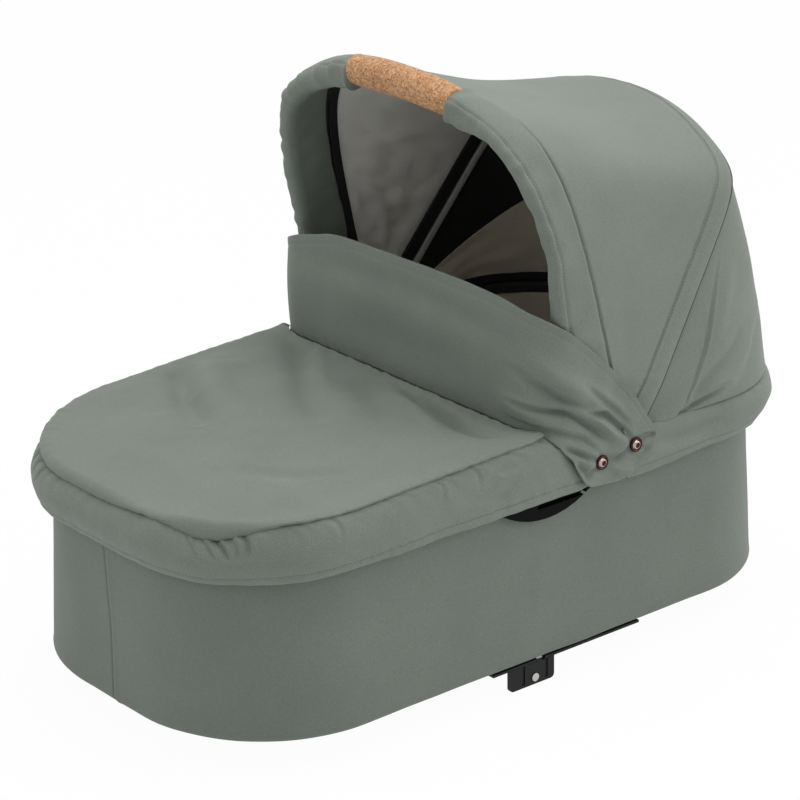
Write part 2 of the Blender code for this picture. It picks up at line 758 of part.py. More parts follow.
class Arch:
    """A bow's curve in a plane that leans by an angle about the hood's pivot line."""

    def __init__(self, angle, reach, half_width, shape, shift=0.0):
        self.turn = radians(angle)
        self.reach = reach
        self.half_width = half_width
        self.drop, self.corner, self.lean = shape
        self.out = Vector((sin(self.turn), 0.0, cos(self.turn)))
        self.across = Vector((cos(self.turn), 0.0, -sin(self.turn)))
        self.base = Vector((PIVOT_X, 0.0, PIVOT_Z)) + self.across * shift
        self.turns = [mix(ARCH_START, pi - ARCH_START, k / ARCH_STEPS) for k in range(ARCH_STEPS + 1)]

    def flat(self, turn):
        """(y, distance from the pivot line) where a ray at one angle meets the curve."""
        across = abs(cos(turn))
        up = sin(turn)
        side = (across + self.lean * up) / (self.half_width + self.lean * LEG_UPRIGHT)
        bend = self.drop * (across / self.half_width) ** 2
        top = 2.0 * self.reach / (up + sqrt(up * up + 4.0 * bend * self.reach))
        size = (side ** self.corner + top ** -self.corner) ** (-1.0 / self.corner)
        return (-cos(turn) * size, up * size)

    def normal(self, point):
        """Outward direction of the curve at a flat point on it."""
        turn = atan2(point[1], -point[0])
        if not ARCH_START < turn < pi - ARCH_START:
            return (1.0 if point[0] > 0 else -1.0, 0.0)
        before = self.flat(turn - NORMAL_STEP)
        after = self.flat(turn + NORMAL_STEP)
        run = hypot(after[0] - before[0], after[1] - before[1])
        return (-(after[1] - before[1]) / run, (after[0] - before[0]) / run)

    def turn_at_y(self, y):
        """The ray that meets the near half of the curve so far from the middle."""
        low, high = ARCH_START, 0.5 * pi
        for _ in range(40):
            middle = 0.5 * (low + high)
            if -self.flat(middle)[0] > y:
                low = middle
            else:
                high = middle
        return low

    def lift(self, point):
        """A flat point in space."""
        return self.base + self.out * point[1] + Vector((0.0, point[0], 0.0))

    def add_stations(self, y):
        """Two more stations, so far from the middle, where pieces on the bow start and end."""
        turn = self.turn_at_y(y)
        self.turns = sorted(self.turns + [turn, pi - turn])

    def path(self, start, end):
        """Flat points at the stations from one ray to another."""
        return [self.flat(turn) for turn in self.turns if start - 1e-6 < turn < end + 1e-6]

    def curve(self, height):
        """Points from foot to foot, with both feet at one height."""
        foot = (height - self.base.z) / self.out.z
        near = [(-self.half_width, foot), (-self.half_width, LEG_UPRIGHT)]
        far = [(-y, out) for y, out in reversed(near)]
        return [self.lift(point) for point in near + self.path(ARCH_START, pi - ARCH_START) + far]


def sweep_rings(arch, path, section):
    """Rings of a section along a flat path. section(k) gives (across, outwards) points."""
    rings = []
    for k, point in enumerate(path):
        normal = arch.normal(point)
        ring = []
        for across, out in section(k):
            flat = (point[0] + normal[0] * out, point[1] + normal[1] * out)
            ring.append(arch.lift(flat) + arch.across * across)
        rings.append(ring)
    return rings


def leg_path(arch):
    """The whole bow, with straight legs that end below the pivot."""
    near = [(-arch.half_width, -LEG_BELOW_PIVOT), (-arch.half_width, LEG_UPRIGHT)]
    return near + arch.path(ARCH_START, pi - ARCH_START) + [(-y, r) for y, r in reversed(near)]


def bow_places():
    """Inner faces of the hub, middle bow, bush, front bow and pin head, outwards from the middle."""
    hub = HALF_WIDTH + GAP
    middle = hub + HUB_THICK + GAP
    bush = middle + MIDDLE_BOW_THICK + GAP
    front = bush + BUSH_LENGTH + GAP
    head = front + FRONT_BOW_THICK + GAP
    return hub, middle, bush, front, head


def make_bow(name, arch, width, thick):
    """Flat bar bent to the arch, with a hole for the pivot pin in each leg."""
    half = width / 2
    deep = thick / 2
    section = [(-half, -deep), (half, -deep), (half, deep), (-half, deep)]
    bow = loft(name, sweep_rings(arch, leg_path(arch), lambda k: section), "metal")
    inside = arch.half_width - thick
    outside = arch.half_width + thick
    for label, side in SIDES:
        cut_round([bow], "cut_pin_%s_%s" % (name, label), (PIVOT_X, PIVOT_Z), "y", PIN_RADIUS + GAP,
                  side * inside, side * outside)
    return bow


def make_pivots(cover, wall):
    """Hub, bush and pin at each side, the pin held in the wall."""
    hub, middle, bush, front, head = bow_places()
    spot = (PIVOT_X, PIVOT_Z)
    tail = HALF_WIDTH + wall_inside(PIVOT_Z) + GAP
    for label, side in SIDES:
        rim = [(HUB_RADIUS, side * hub), (HUB_RADIUS, side * (hub + HUB_THICK))]
        disc = turned("hood_hub_" + label, rim, spot, "y", 20, "black")
        rim = [(PIN_HEAD_RADIUS, side * bush), (PIN_HEAD_RADIUS, side * (bush + BUSH_LENGTH))]
        ring = turned("pivot_bush_" + label, rim, spot, "y", 16, "black")
        pin = [(PIN_RADIUS, tail), (PIN_RADIUS, head), (PIN_HEAD_RADIUS, head)]
        pin.append((PIN_HEAD_RADIUS, head + PIN_HEAD_THICK / 2))
        pin.append((PIN_HEAD_FACE * PIN_HEAD_RADIUS, head + PIN_HEAD_THICK))
        turned("pivot_pin_" + label, [(r, side * y) for r, y in pin], spot, "y", 16, "metal")
        cut_round([disc, ring, cover, wall], "cut_hub_" + label, spot, "y", PIN_RADIUS + GAP,
                  side * (tail - OVERCUT), side * front)


def front_arch():
    """The front bow, which is also the carry handle."""
    arch = Arch(FRONT_ANGLE, FRONT_REACH, bow_places()[3] + FRONT_BOW_THICK / 2, FRONT_SHAPE)
    arch.add_stations(GRIP_HALF_LENGTH)
    arch.add_stations(GRIP_HALF_LENGTH + GRIP_END_GAP)
    return arch


def middle_arch():
    """The middle bow, under the hood's crown."""
    centre = bow_places()[1] + MIDDLE_BOW_THICK / 2
    return Arch(MIDDLE_ANGLE, MIDDLE_REACH - MIDDLE_BOW_THICK / 2, centre, MIDDLE_SHAPE)


def make_grip(arch):
    """Cork grip round the top of the front bow."""
    start = arch.turn_at_y(GRIP_HALF_LENGTH)
    path = arch.path(start, pi - start)
    steps = len(path) - 1
    sides = 16
    bar = bar_hole(6, GRIP_ROOM)

    def outer(k):
        radius = GRIP_RADIUS * (1.0 - GRIP_TAPER * abs(2.0 * k / steps - 1.0) ** 4)
        turns = [2 * pi * i / sides for i in range(sides)]
        return [(radius * cos(turn), radius * sin(turn)) for turn in turns]

    hole = sweep_rings(arch, path, lambda k: bar)
    return pipe("cork_grip", sweep_rings(arch, path, outer), hole, "cork")


def bar_hole(spans, room):
    """A slot round the front bow, from the middle of its +across end, with so many spans a side."""
    wide = FRONT_WIDTH / 2 + room
    thick = FRONT_BOW_THICK / 2 + room
    top = [(mix(wide, -wide, k / spans), thick) for k in range(spans + 1)]
    under = [(-across, -out) for across, out in top]
    return [(wide, 0.0)] + top + [(-wide, 0.0)] + under


def sleeve_section(away, share):
    """Outline of the padded sleeve: share 0 at its foot, 1 at the grip."""
    padded = smooth_step(share / SLEEVE_PAD_FULL)
    widen = smooth_step(share / SLEEVE_WIDE_FULL)
    narrow = smooth_step((share - SLEEVE_NARROW_FROM) / (1.0 - SLEEVE_NARROW_FROM))
    depth = mix(SLEEVE_FOOT_DEPTH, SLEEVE_DEPTH, padded)
    outside = mix(SLEEVE_OUTSIDE, SLEEVE_TOP_OUTSIDE, share)
    front = -mix(mix(SLEEVE_FRONT_LOW, SLEEVE_FRONT_WIDE, widen), SLEEVE_FRONT_TOP, narrow)
    rear = SEAM_SHIFT + away * sin(radians(SEAM_ANGLE - FRONT_ANGLE)) - SEAM_GAP
    inner_rear = max(mix(rear, SLEEVE_REAR_INSIDE, padded), rear)
    section = [(rear - back, high * outside) for back, high in SLEEVE_REAR_OUTER]
    section += [(front + back, high * outside) for back, high in SLEEVE_FRONT_OUTER]
    section += [(front + back, -deep * depth) for back, deep in SLEEVE_FRONT_INNER]
    section += [(inner_rear - back, -deep * depth) for back, deep in SLEEVE_REAR_INNER]
    return section


def make_sleeves(arch):
    """Padded fabric sleeves on the front bow, below the grip on each side."""
    end = arch.turn_at_y(GRIP_HALF_LENGTH + GRIP_END_GAP)
    bar = bar_hole(3, SLEEVE_ROOM)
    path = [(-arch.half_width, SLEEVE_FOOT)]
    path += [point for point in arch.path(ARCH_START, end) if point[1] > SLEEVE_FOOT + 0.01]
    marks = [0.0]
    for before, after in zip(path, path[1:]):
        marks.append(marks[-1] + hypot(after[0] - before[0], after[1] - before[1]))
    shares = [mark / marks[-1] for mark in marks]
    for label, side in SIDES:
        rings_out = sweep_rings(arch, path, lambda k: sleeve_section(path[k][1], shares[k]))
        rings_in = sweep_rings(arch, path, lambda k: bar)
        if side > 0:
            rings_out = [[Vector((p.x, -p.y, p.z)) for p in ring] for ring in rings_out]
            rings_in = [[Vector((p.x, -p.y, p.z)) for p in ring] for ring in rings_in]
        pipe("front_sleeve_" + label, rings_out, rings_in, "fabric")


# Hood fabric

def spanned(first, second, start=0.0, end=1.0):
    """Fabric pulled straight between two curves, or between two shares of the way."""
    grid = []
    for row in range(HOOD_ROWS + 1):
        share = mix(start, end, row / HOOD_ROWS)
        grid.append([p.lerp(q, share) for p, q in zip(first, second)])
    return grid


def sag(grid, half_width):
    """Let the fabric between two bows hang, most along its middle line."""
    for row, line in enumerate(grid):
        for point in line:
            flatness = max(0.0, 1.0 - (point.y / half_width) ** 2)
            point.z -= HOOD_SAG * sin(pi * row / HOOD_ROWS) * flatness


def lengths(points):
    """How far along a line of points each one lies, as shares of the whole."""
    marks = [0.0]
    for before, after in zip(points, points[1:]):
        marks.append(marks[-1] + (after - before).length)
    return [mark / marks[-1] for mark in marks]


def at_shares(points, shares):
    """Points on a line at so many shares of its length."""
    marks = lengths(points)
    found = []
    for share in shares:
        i = max(n for n in range(len(points) - 1) if marks[n] <= share + 1e-9)
        found.append(points[i].lerp(points[i + 1], (share - marks[i]) / (marks[i + 1] - marks[i])))
    return found


def panel_arch(thick, shift):
    """The hood fabric's curve over the middle bow, so thick above its inner face."""
    reach = MIDDLE_REACH + SEAM_GAP + thick
    half_width = hood_half_width() - HOOD_NARROWING - FABRIC + thick
    return Arch(MIDDLE_ANGLE, reach, half_width, MIDDLE_SHAPE, shift)


def lining_arch(side):
    """The lining's curve just inside one edge of the middle bow."""
    reach = MIDDLE_REACH - MIDDLE_BOW_THICK - SEAM_GAP
    shift = side * (MIDDLE_WIDTH / 2 - GAP)
    return Arch(MIDDLE_ANGLE, reach, bow_places()[1] - SEAM_GAP, MIDDLE_SHAPE, shift)


def make_front_panels():
    """Hood panel and its lining between the front sleeve and the middle bow."""
    seam = Arch(SEAM_ANGLE, FRONT_REACH + SEAM_OVER_BOW, hood_half_width(), FRONT_SHAPE,
                SEAM_SHIFT + SEAM_GAP)
    panel = spanned(seam.curve(PANEL_FOOT_Z), panel_arch(FABRIC, -CHANNEL_HALF).curve(PANEL_FOOT_Z))
    sag(panel, seam.half_width)
    panel.append(panel_arch(FABRIC, CHANNEL_HALF).curve(PANEL_FOOT_Z))
    sheet("hood_front_panel", panel, FABRIC, "fabric", 1)
    inner = Arch(SEAM_ANGLE, FRONT_REACH - LINING_SEAM_DEPTH, bow_places()[1] - GAP, FRONT_SHAPE,
                 SLEEVE_REAR_INSIDE + SEAM_GAP)
    lining = spanned(inner.curve(LINING_FOOT_Z), lining_arch(-1).curve(LINING_FOOT_Z))
    sag(lining, inner.half_width)
    sheet("hood_front_lining", lining, LINING_FABRIC, "lining", 1)


def head_line(grow, puff, start_x, height):
    """The plan round the head end at one height, as points in space."""
    path = bulged_path(1, grow, puff, start_x, PUFF_FROM_X, PUFF_FULL_X)
    return [Vector((x, y, height)) for x, y in path]


def make_rear_panels():
    """Rear hood panel, the vent mesh behind the middle bow and the lining below the mesh."""
    start_x = PIVOT_X + REAR_START
    first = panel_arch(0.0, CHANNEL_HALF + SEAM_GAP).curve(PANEL_FOOT_Z)
    hem = head_line(BAND_OUT - FABRIC, BAND_PUFF[0], start_x, PANEL_FOOT_Z)
    sheet("hood_rear_panel", spanned(first, at_shares(hem, lengths(first))), FABRIC, "fabric", -1)
    first = lining_arch(1).curve(LINING_FOOT_Z)
    rest = head_line(-FABRIC / 2, 0.0, start_x, RIM_TOP + LINING_REST)
    second = at_shares(rest, lengths(first))
    sheet("vent_mesh", spanned(first, second, 0.0, MESH_SHARE), LINING_FABRIC, "mesh", 1)
    below = spanned(first, second, MESH_SHARE + MESH_HEM, 1.0)
    sheet("hood_rear_lining", below, LINING_FABRIC, "lining", 1)


def make_band():
    """Hem band of the hood, round the head end below the rear panel."""
    heights = (BAND_TOP_Z, mix(BAND_TOP_Z, BAND_LOW_Z, 0.5), BAND_LOW_Z)
    grid = [head_line(BAND_OUT, puff, BAND_START_X, height) for puff, height in zip(BAND_PUFF, heights)]
    return sheet("hood_hem_band", grid, FABRIC, "fabric", 1)


# Release lever, pull strip and frame adapter

def housing_outline():
    """Side view of the housing: flat top and a shallow curved underside."""
    half = (HOUSING_TO_X - HOUSING_FROM_X) / 2
    drop = HOUSING_SHOULDER - HOUSING_LOW
    radius = (half * half + drop * drop) / (2 * drop)
    centre_x = HOUSING_FROM_X + half
    spread = asin(half / radius)
    steps = 12
    points = [(HOUSING_TO_X, RIM_TOP + HOUSING_TOP), (HOUSING_FROM_X, RIM_TOP + HOUSING_TOP)]
    for k in range(steps + 1):
        turn = mix(-spread, spread, k / steps)
        points.append((centre_x + radius * sin(turn), RIM_TOP + HOUSING_LOW + radius * (1 - cos(turn))))
    return points


def lever_low():
    """Height of the lever's underside at rest."""
    return RIM_TOP + POCKET_TOP - RELEASE_TRAVEL - LEVER_HEIGHT - GAP


def strip_y(height):
    """Centre of the pull strip at one height, parallel to the wall's outer face."""
    return HALF_WIDTH + WALL_FLARE * (1.0 - height / FLARE_TOP) - COVER_THICK - GAP - STRIP_DEPTH


def slanted_block(name, side, low_z, high_z, half_x, half_y, shift, finish):
    """A bar that follows the pull strip's slant."""
    rings = []
    for z in (low_z, high_z):
        y = strip_y(z) + shift
        corners = ((-half_x, -half_y), (half_x, -half_y), (half_x, half_y), (-half_x, half_y))
        rings.append([Vector((STRIP_X + a, side * (y + b), z)) for a, b in corners])
    return loft(name, rings, finish)


def side_block(name, side, x_range, y_range, z_range, finish):
    """A block whose Y range is measured outwards from the middle."""
    low, high = sorted((side * y_range[0], side * y_range[1]))
    return box(name, (x_range[0], low, z_range[0]), (x_range[1], high, z_range[1]), finish)


def cut_side_block(targets, name, side, x_range, y_range, z_range):
    """Cut such a block out of several objects."""
    tool = side_block(name, side, x_range, y_range, z_range, "black")
    for made in targets:
        combine(made, tool, "DIFFERENCE")


def make_release(label, side, tray, wall, cover):
    """Housing, lever and pull strip of one side."""
    face = HALF_WIDTH + flare(RIM_TOP + HOUSING_LOW, COVER_FLARE) + GAP
    outer = face + HOUSING_DEPTH
    back = face + HOUSING_BACK
    housing = prism("side_housing_" + label, housing_outline(), side * face, side * outer, "black")
    cut_side_block([housing], "cut_pocket_" + label, side, (POCKET_FROM_X, POCKET_TO_X),
                   (back, outer + OVERCUT), (RIM_TOP + POCKET_LOW, RIM_TOP + POCKET_TOP))
    low = lever_low()
    high = low + LEVER_HEIGHT
    lever_x = (POCKET_FROM_X + LEVER_END_GAP, POCKET_TO_X - LEVER_END_GAP)
    lever = side_block("release_lever_" + label, side, lever_x,
                       (back + GAP, back + GAP + LEVER_THICK), (low, high), "plastic")
    tab = HALF_WIDTH - COVER_THICK - GAP - STRIP_DEPTH + STRIP_THICK / 2 + GAP
    half_tab = STRIP_WIDTH / 2 + TAB_BORDER
    joined = side_block("join_tab_" + label, side, (STRIP_X - half_tab, STRIP_X + half_tab),
                        (tab, back + OVERCUT), (low + TAB_BORDER, high - TAB_BORDER), "plastic")
    combine(lever, joined, "UNION")
    slot_x = (STRIP_X - half_tab - GAP, STRIP_X + half_tab + GAP)
    cut_side_block([housing, cover], "cut_slot_" + label, side, slot_x,
                   (tab - SEAM_GAP, back + SEAM_GAP), (low, high + RELEASE_TRAVEL))
    strip_low = latch_top() + GAP
    strip = slanted_block("pull_strip_" + label, side, strip_low, high,
                          STRIP_WIDTH / 2, STRIP_THICK / 2, 0.0, "metal")
    room = STRIP_THICK / 2 + STRIP_ROOM
    half = STRIP_WIDTH / 2 + STRIP_ROOM
    channel_top = high + RELEASE_TRAVEL + SEAM_GAP
    channel = slanted_block("cut_channel_" + label, side, strip_low - OVERCUT, channel_top,
                            half, room + OVERCUT, OVERCUT, "black")
    combine(wall, channel, "DIFFERENCE")
    combine(tray, channel, "DIFFERENCE")
    passage = slanted_block("cut_passage_" + label, side, strip_low - SEAM_GAP, TRAY_RIM,
                            half, room, 0.0, "black")
    combine(cover, passage, "DIFFERENCE")
    return lever, strip, channel


def latch_top():
    """Height of the latch's upper face at rest."""
    return BRACKET_LOW_Z + BRACKET_FLOOR + GAP + LATCH_HEIGHT


def bracket_outline():
    """Side view of the adapter bracket, with rounded lower corners."""
    high = -PLATE_THICK - 2 * GAP
    points = [(BRACKET_TO_X, high), (BRACKET_FROM_X, high)]
    steps = 4
    corners = ((BRACKET_FROM_X + BRACKET_CORNER, pi), (BRACKET_TO_X - BRACKET_CORNER, 1.5 * pi))
    for centre_x, start in corners:
        for k in range(steps + 1):
            turn = start + 0.5 * pi * k / steps
            points.append((centre_x + BRACKET_CORNER * cos(turn),
                           BRACKET_LOW_Z + BRACKET_CORNER + BRACKET_CORNER * sin(turn)))
    return points


def make_bracket(label, side):
    """Blade that slides into the pushchair frame, with a boss for the latch behind it."""
    high = -PLATE_THICK - 2 * GAP
    inner = BRACKET_Y - BOSS_THICK
    bracket = prism("adapter_bracket_" + label, bracket_outline(), side * (BRACKET_Y - BLADE_THICK),
                    side * BRACKET_Y, "plastic")
    boss = side_block("join_boss_" + label, side, (BOSS_FROM_X, BOSS_TO_X),
                      (inner, BRACKET_Y - BLADE_THICK / 2), (BRACKET_LOW_Z, high), "plastic")
    combine(bracket, boss, "UNION")
    groove_y = (BRACKET_Y - GROOVE_DEPTH, BRACKET_Y + OVERCUT)
    for number, x in enumerate(GROOVES_X):
        groove_x = (x - GROOVE_WIDTH / 2, x + GROOVE_WIDTH / 2)
        cut_side_block([bracket], "cut_groove_%s_%d" % (label, number), side, groove_x, groove_y,
                       (BRACKET_LOW_Z + GROOVE_END, 0.0))
    return bracket


def make_adapter(label, side, tray, channel):
    """Plate, bracket, disc, latch, spring and screws under one side."""
    plate_top = -GAP
    plate_low = plate_top - PLATE_THICK
    plate = side_block("adapter_plate_" + label, side, (PLATE_FROM_X, PLATE_TO_X),
                       (BRACKET_Y - PLATE_WIDTH, BRACKET_Y), (plate_low, plate_top), "plastic")
    combine(plate, channel, "DIFFERENCE")
    bracket = make_bracket(label, side)
    half = LATCH_WIDTH / 2
    inner = BRACKET_Y - BOSS_THICK
    outer = strip_y(latch_top()) + STRIP_THICK / 2
    cut_side_block([bracket], "cut_cavity_" + label, side, (STRIP_X - half - GAP, STRIP_X + half + GAP),
                   (inner - OVERCUT, outer + STRIP_ROOM), (BRACKET_LOW_Z + BRACKET_FLOOR, 0.0))
    latch = side_block("latch_" + label, side, (STRIP_X - half, STRIP_X + half),
                       (inner - LATCH_NOSE, outer), (latch_top() - LATCH_HEIGHT, latch_top()), "metal")
    face = side * (BRACKET_Y + GAP)
    turned("adapter_disc_" + label, [(DISC_RADIUS, face), (DISC_RADIUS, face + side * DISC_THICK)],
           (DISC_X, DISC_Z), "y", 20, "disc")
    make_spring(label, side, latch_top() + GAP, plate_low - GAP)
    make_screws(label, side, plate, tray, plate_low)
    return latch


def make_spring(label, side, low, high):
    """Compression spring that holds the latch down."""
    per_turn = 8
    count = SPRING_TURNS * per_turn
    middle = side * (BRACKET_Y - BOSS_THICK / 2)
    curve = bpy.data.curves.new("latch_spring_" + label, "CURVE")
    curve.dimensions = "3D"
    curve.bevel_depth = SPRING_WIRE
    curve.bevel_resolution = 1
    curve.use_fill_caps = True
    line = curve.splines.new("POLY")
    line.points.add(count)
    climb = (high - low - 2 * SPRING_WIRE) / count
    for k in range(count + 1):
        turn = 2 * pi * k / per_turn
        x = STRIP_X + SPRING_RADIUS * cos(turn)
        y = middle + SPRING_RADIUS * sin(turn)
        line.points[k].co = (x, y, low + SPRING_WIRE + climb * k, 1.0)
    made = bpy.data.objects.new("latch_spring_" + label, curve)
    curve.materials.append(material("latch_spring_" + label, *FINISHES["metal"]))
    bpy.context.scene.collection.objects.link(made)


def make_screws(label, side, plate, tray, plate_low):
    """Screws that hold the plate to the tray."""
    seat = plate_low - GAP
    y = side * (BRACKET_Y - PLATE_WIDTH + SCREW_IN)
    profile = [(SCREW_HEAD_FACE * SCREW_HEAD_RADIUS, seat - SCREW_HEAD_THICK)]
    profile += [(SCREW_HEAD_RADIUS, seat - SCREW_HEAD_THICK / 2), (SCREW_HEAD_RADIUS, seat)]
    profile += [(SCREW_SHANK_RADIUS, seat), (SCREW_SHANK_RADIUS, SCREW_DEPTH)]
    for number, x in enumerate(SCREWS_X, start=1):
        turned("adapter_screw_%s_%d" % (label, number), profile, (x, y), "z", 12, "metal")
        cut_round([plate, tray], "cut_screw_%s_%d" % (label, number), (x, y), "z",
                  SCREW_SHANK_RADIUS + GAP, seat - SEAM_GAP, SCREW_DEPTH + GAP)


def carry(name, place, pieces):
    """An empty on a joint's axis that the pieces which turn or slide there hang from."""
    empty = bpy.data.objects.new(name, None)
    empty.location = place
    bpy.context.scene.collection.objects.link(empty)
    for made in pieces:
        made.parent = empty
        made.matrix_parent_inverse = Matrix.Translation(place).inverted()


def main():
    """Build every piece."""
    for old in list(bpy.data.objects):
        bpy.data.objects.remove(old, do_unlink=True)
    tray = make_tray()
    wall = make_wall()
    cover = make_cover()
    make_lining()
    make_rim()
    make_mattress()
    make_apron()
    make_skirt()
    flap = make_flap()
    band = make_band()
    front = front_arch()
    make_bow("front_bow", front, FRONT_WIDTH, FRONT_BOW_THICK)
    make_bow("middle_bow", middle_arch(), MIDDLE_WIDTH, MIDDLE_BOW_THICK)
    make_grip(front)
    make_sleeves(front)
    make_front_panels()
    make_rear_panels()
    make_pivots(cover, wall)
    for label, side in SIDES:
        wing = make_wing(label, side)
        make_studs(label, side, band, wing)
        lever, strip, channel = make_release(label, side, tray, wall, cover)
        latch = make_adapter(label, side, tray, channel)
        slide = Vector((STRIP_X, side * strip_y(latch_top()), latch_top()))
        carry("release_slide_" + label, slide, (lever, strip, latch))
    folding = ("front_bow", "cork_grip", "front_sleeve_near", "front_sleeve_far", "middle_bow",
               "hood_front_panel", "hood_front_lining")
    carry("hood_pivot", Vector((PIVOT_X, 0.0, PIVOT_Z)), [bpy.data.objects[name] for name in folding])
    carry("flap_fold", Vector((FOLD_X - FABRIC / 2, 0.0, FLAP_HINGE_Z)), (flap,))


main()
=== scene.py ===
"""Looks of the carrycot: sage fabric, cork grip, press studs, dark fittings and a light lining.

Metres, in the part's frame: +X runs to the head end, -Y is the near side, +Z is up. Cloth is
made as grids of points, laid with measured folds and puckers, then thickened.
"""
from math import cos, pi, radians, sin

import bpy
import numpy as np
from mathutils import Matrix, Vector, noise


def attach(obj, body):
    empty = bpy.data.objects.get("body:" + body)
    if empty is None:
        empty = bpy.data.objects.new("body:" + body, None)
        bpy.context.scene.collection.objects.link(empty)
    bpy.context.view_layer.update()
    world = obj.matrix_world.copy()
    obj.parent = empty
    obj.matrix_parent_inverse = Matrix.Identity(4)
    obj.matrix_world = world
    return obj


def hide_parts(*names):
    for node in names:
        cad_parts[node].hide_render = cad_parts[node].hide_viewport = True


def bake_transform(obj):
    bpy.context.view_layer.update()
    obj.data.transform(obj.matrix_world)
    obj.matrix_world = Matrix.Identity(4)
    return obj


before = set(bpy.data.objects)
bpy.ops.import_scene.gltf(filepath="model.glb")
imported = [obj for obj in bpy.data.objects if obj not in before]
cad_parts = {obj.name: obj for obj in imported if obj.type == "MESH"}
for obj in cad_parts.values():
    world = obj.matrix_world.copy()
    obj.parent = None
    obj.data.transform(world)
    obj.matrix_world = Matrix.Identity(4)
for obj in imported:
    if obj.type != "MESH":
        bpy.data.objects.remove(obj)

# Camera of the photo
CAMERA_PLACE = (-2.261, -2.788, 1.677)
CAMERA_TURN = -39.0
CAMERA_LIFT = 21.745
CAMERA_ROLL = -0.944
CAMERA_LENS = 152.69

# Basket plan and heights
HALF_LENGTH = 0.4085
HALF_WIDTH = 0.2225
FOOT_RADIUS = 0.165
HEAD_RADIUS = 0.138
RIM_TOP = 0.254
WALL_TOP = 0.2415
FLARE_TOP = 0.190
COVER_FLARE = 0.009
EDGE_RADIUS = 0.012
COVER_HEM = 0.0315

# Apron and skirt
FOLD_X = 0.0
SEAM_RISE = 0.015
SEAM_OUT = 0.012
SEAM_SHOULDER = 0.003
SEAM_DROOP = 0.009
DROOP_FROM_X = -0.10
DROOP_FULL_X = -0.33
HEM_OUT = 0.015
HEM_Z = 0.193
SKIRT_PUFF = 0.008
SKIRT_DROP = 0.062
SKIRT_STITCH = 0.053
SKIRT_END = ((0.0, 0.13, 0.29, 0.54, 0.88, 1.0), (0.012, 0.031, 0.043, 0.057, 0.071, 0.073))

# Wind flap
FLAP_CORNER = 0.055
FLAP_SIDE_Y = 0.2418
FLAP_FRONT_X = -0.0012
FLAP_END_X = 0.1685
FLAP_THICK = 0.0022

# Hood
PIVOT = (0.115, 0.210)
FRONT_ANGLE = -14.95
FRONT_REACH = 0.4245
FRONT_BOW_Y = 0.2315
MIDDLE_ANGLE = 35.0
MIDDLE_REACH = 0.408
SEAM_ANGLE = -13.45
SEAM_SHIFT = 0.0155
SEAM_REACH = FRONT_REACH + 0.0045
PANEL_WIDTH = 0.25      # from the sleeve to the channel, over the top
HOOD_SIDE_Y = 0.2395
HOOD_NARROWING = 0.0095
ARCH_START = 0.44
LEG_UPRIGHT = 0.100
FRONT_SHAPE = (0.036, 6.0, 0.0)
MIDDLE_SHAPE = (0.085, 26.0, 0.108)
CHANNEL_HALF = 0.012
HOOD_STEPS = 420
HOOD_SAG = 0.018
HOOD_MIDDLE = (0.15, 0.0, 0.25)
BACK_START_X = 0.187    # on the plan, where the hood's back begins
LINING_Y = 0.2245
LINING_THICK = 0.0012
PANEL_FOOT_Z = 0.243
LINING_FOOT_Z = 0.257
BAND_OUT = 0.0150
BAND_TOP_Z = 0.240
BAND_LOW_Z = 0.188
BAND_START_X = 0.128
BAND_DROP = 0.052
BAND_STITCH = 0.043
BAND_MIDDLE = (0.15, 0.0, 0.215)
GRIP_HALF_LENGTH = 0.0850
GRIP_SHIFT = -0.007
GRIP_RADIUS = 0.0178
GRIP_POINTS = 48
SLEEVE_GIRTH = 0.15
SLEEVE_STITCH = 0.047

# Studs, stitches and cloth
STUD_GROW = 1.08
STITCH_LENGTH = 0.0026
STITCH_GAP = 0.0016
STITCH_RADIUS = 0.00032
THREAD_LIFT = 0.0001    # of a row of stitches above its cloth
WELD_REACH = 0.00005
WHITE = (1.0, 1.0, 1.0, 1.0)
CLOTH_ROUGHNESS = 0.86
CLOTH_MOTTLE = 0.93
WEAVE_DEPTH = 0.00012
PLASTIC_GRAIN = 0.00008
CLOTH = 0.0018
FOLDS = 1.6             # depth of every fold, as a share of its written depth
# Gathers of the skirt under its seam as (place along it, slant, size)
SKIRT_GATHERS = (
    (0.392, 0.30, 1.0), (0.405, 0.15, 0.7), (0.421, -0.15, 1.1), (0.437, -0.3, 0.8), (0.455, -0.35, 0.5),
    (0.70, 0.2, 0.8), (0.722, 0.1, 1.0), (0.745, -0.1, 1.0), (0.77, -0.2, 0.7),
    (0.16, 0.9, 0.35), (0.11, 0.9, 0.4), (0.30, 0.6, 0.3),
)
# Folds of the skirt as (line along it and down, width, depth, lean)
SKIRT_FOLDS = (
    (((0.050, 0.016), (0.075, 0.022), (0.100, 0.020), (0.125, 0.030)), 0.004, 0.0012, 0.0008),
    (((0.085, 0.030), (0.110, 0.040), (0.150, 0.036)), 0.005, -0.0012, 0.0006),
)
# Folds of the apron as (line in x and y, width, depth, lean)
APRON_FOLDS = (
    (((0.010, 0.215), (-0.055, 0.110), (-0.115, 0.020), (-0.160, -0.055)), 0.020, -0.0052),
    (((-0.004, 0.150), (-0.070, 0.070), (-0.120, -0.010)), 0.014, 0.0028),
    (((-0.010, -0.020), (-0.024, -0.080), (-0.038, -0.150), (-0.030, -0.205)), 0.010, -0.0058, 0.0014),
    (((-0.300, -0.080), (-0.260, -0.130), (-0.200, -0.160)), 0.010, -0.0014, 0.0008),
    (((-0.036, -0.015), (-0.052, -0.080), (-0.075, -0.160)), 0.012, 0.0030),
    (((-0.155, 0.212), (-0.212, 0.125), (-0.252, 0.035)), 0.015, -0.0058, 0.0012),
    (((-0.125, 0.205), (-0.182, 0.120), (-0.225, 0.050)), 0.018, 0.0020),
    (((-0.040, 0.030), (-0.075, -0.040), (-0.125, -0.145)), 0.022, -0.0024),
    (((-0.120, 0.200), (-0.180, 0.110), (-0.215, 0.010)), 0.022, 0.0026),
)

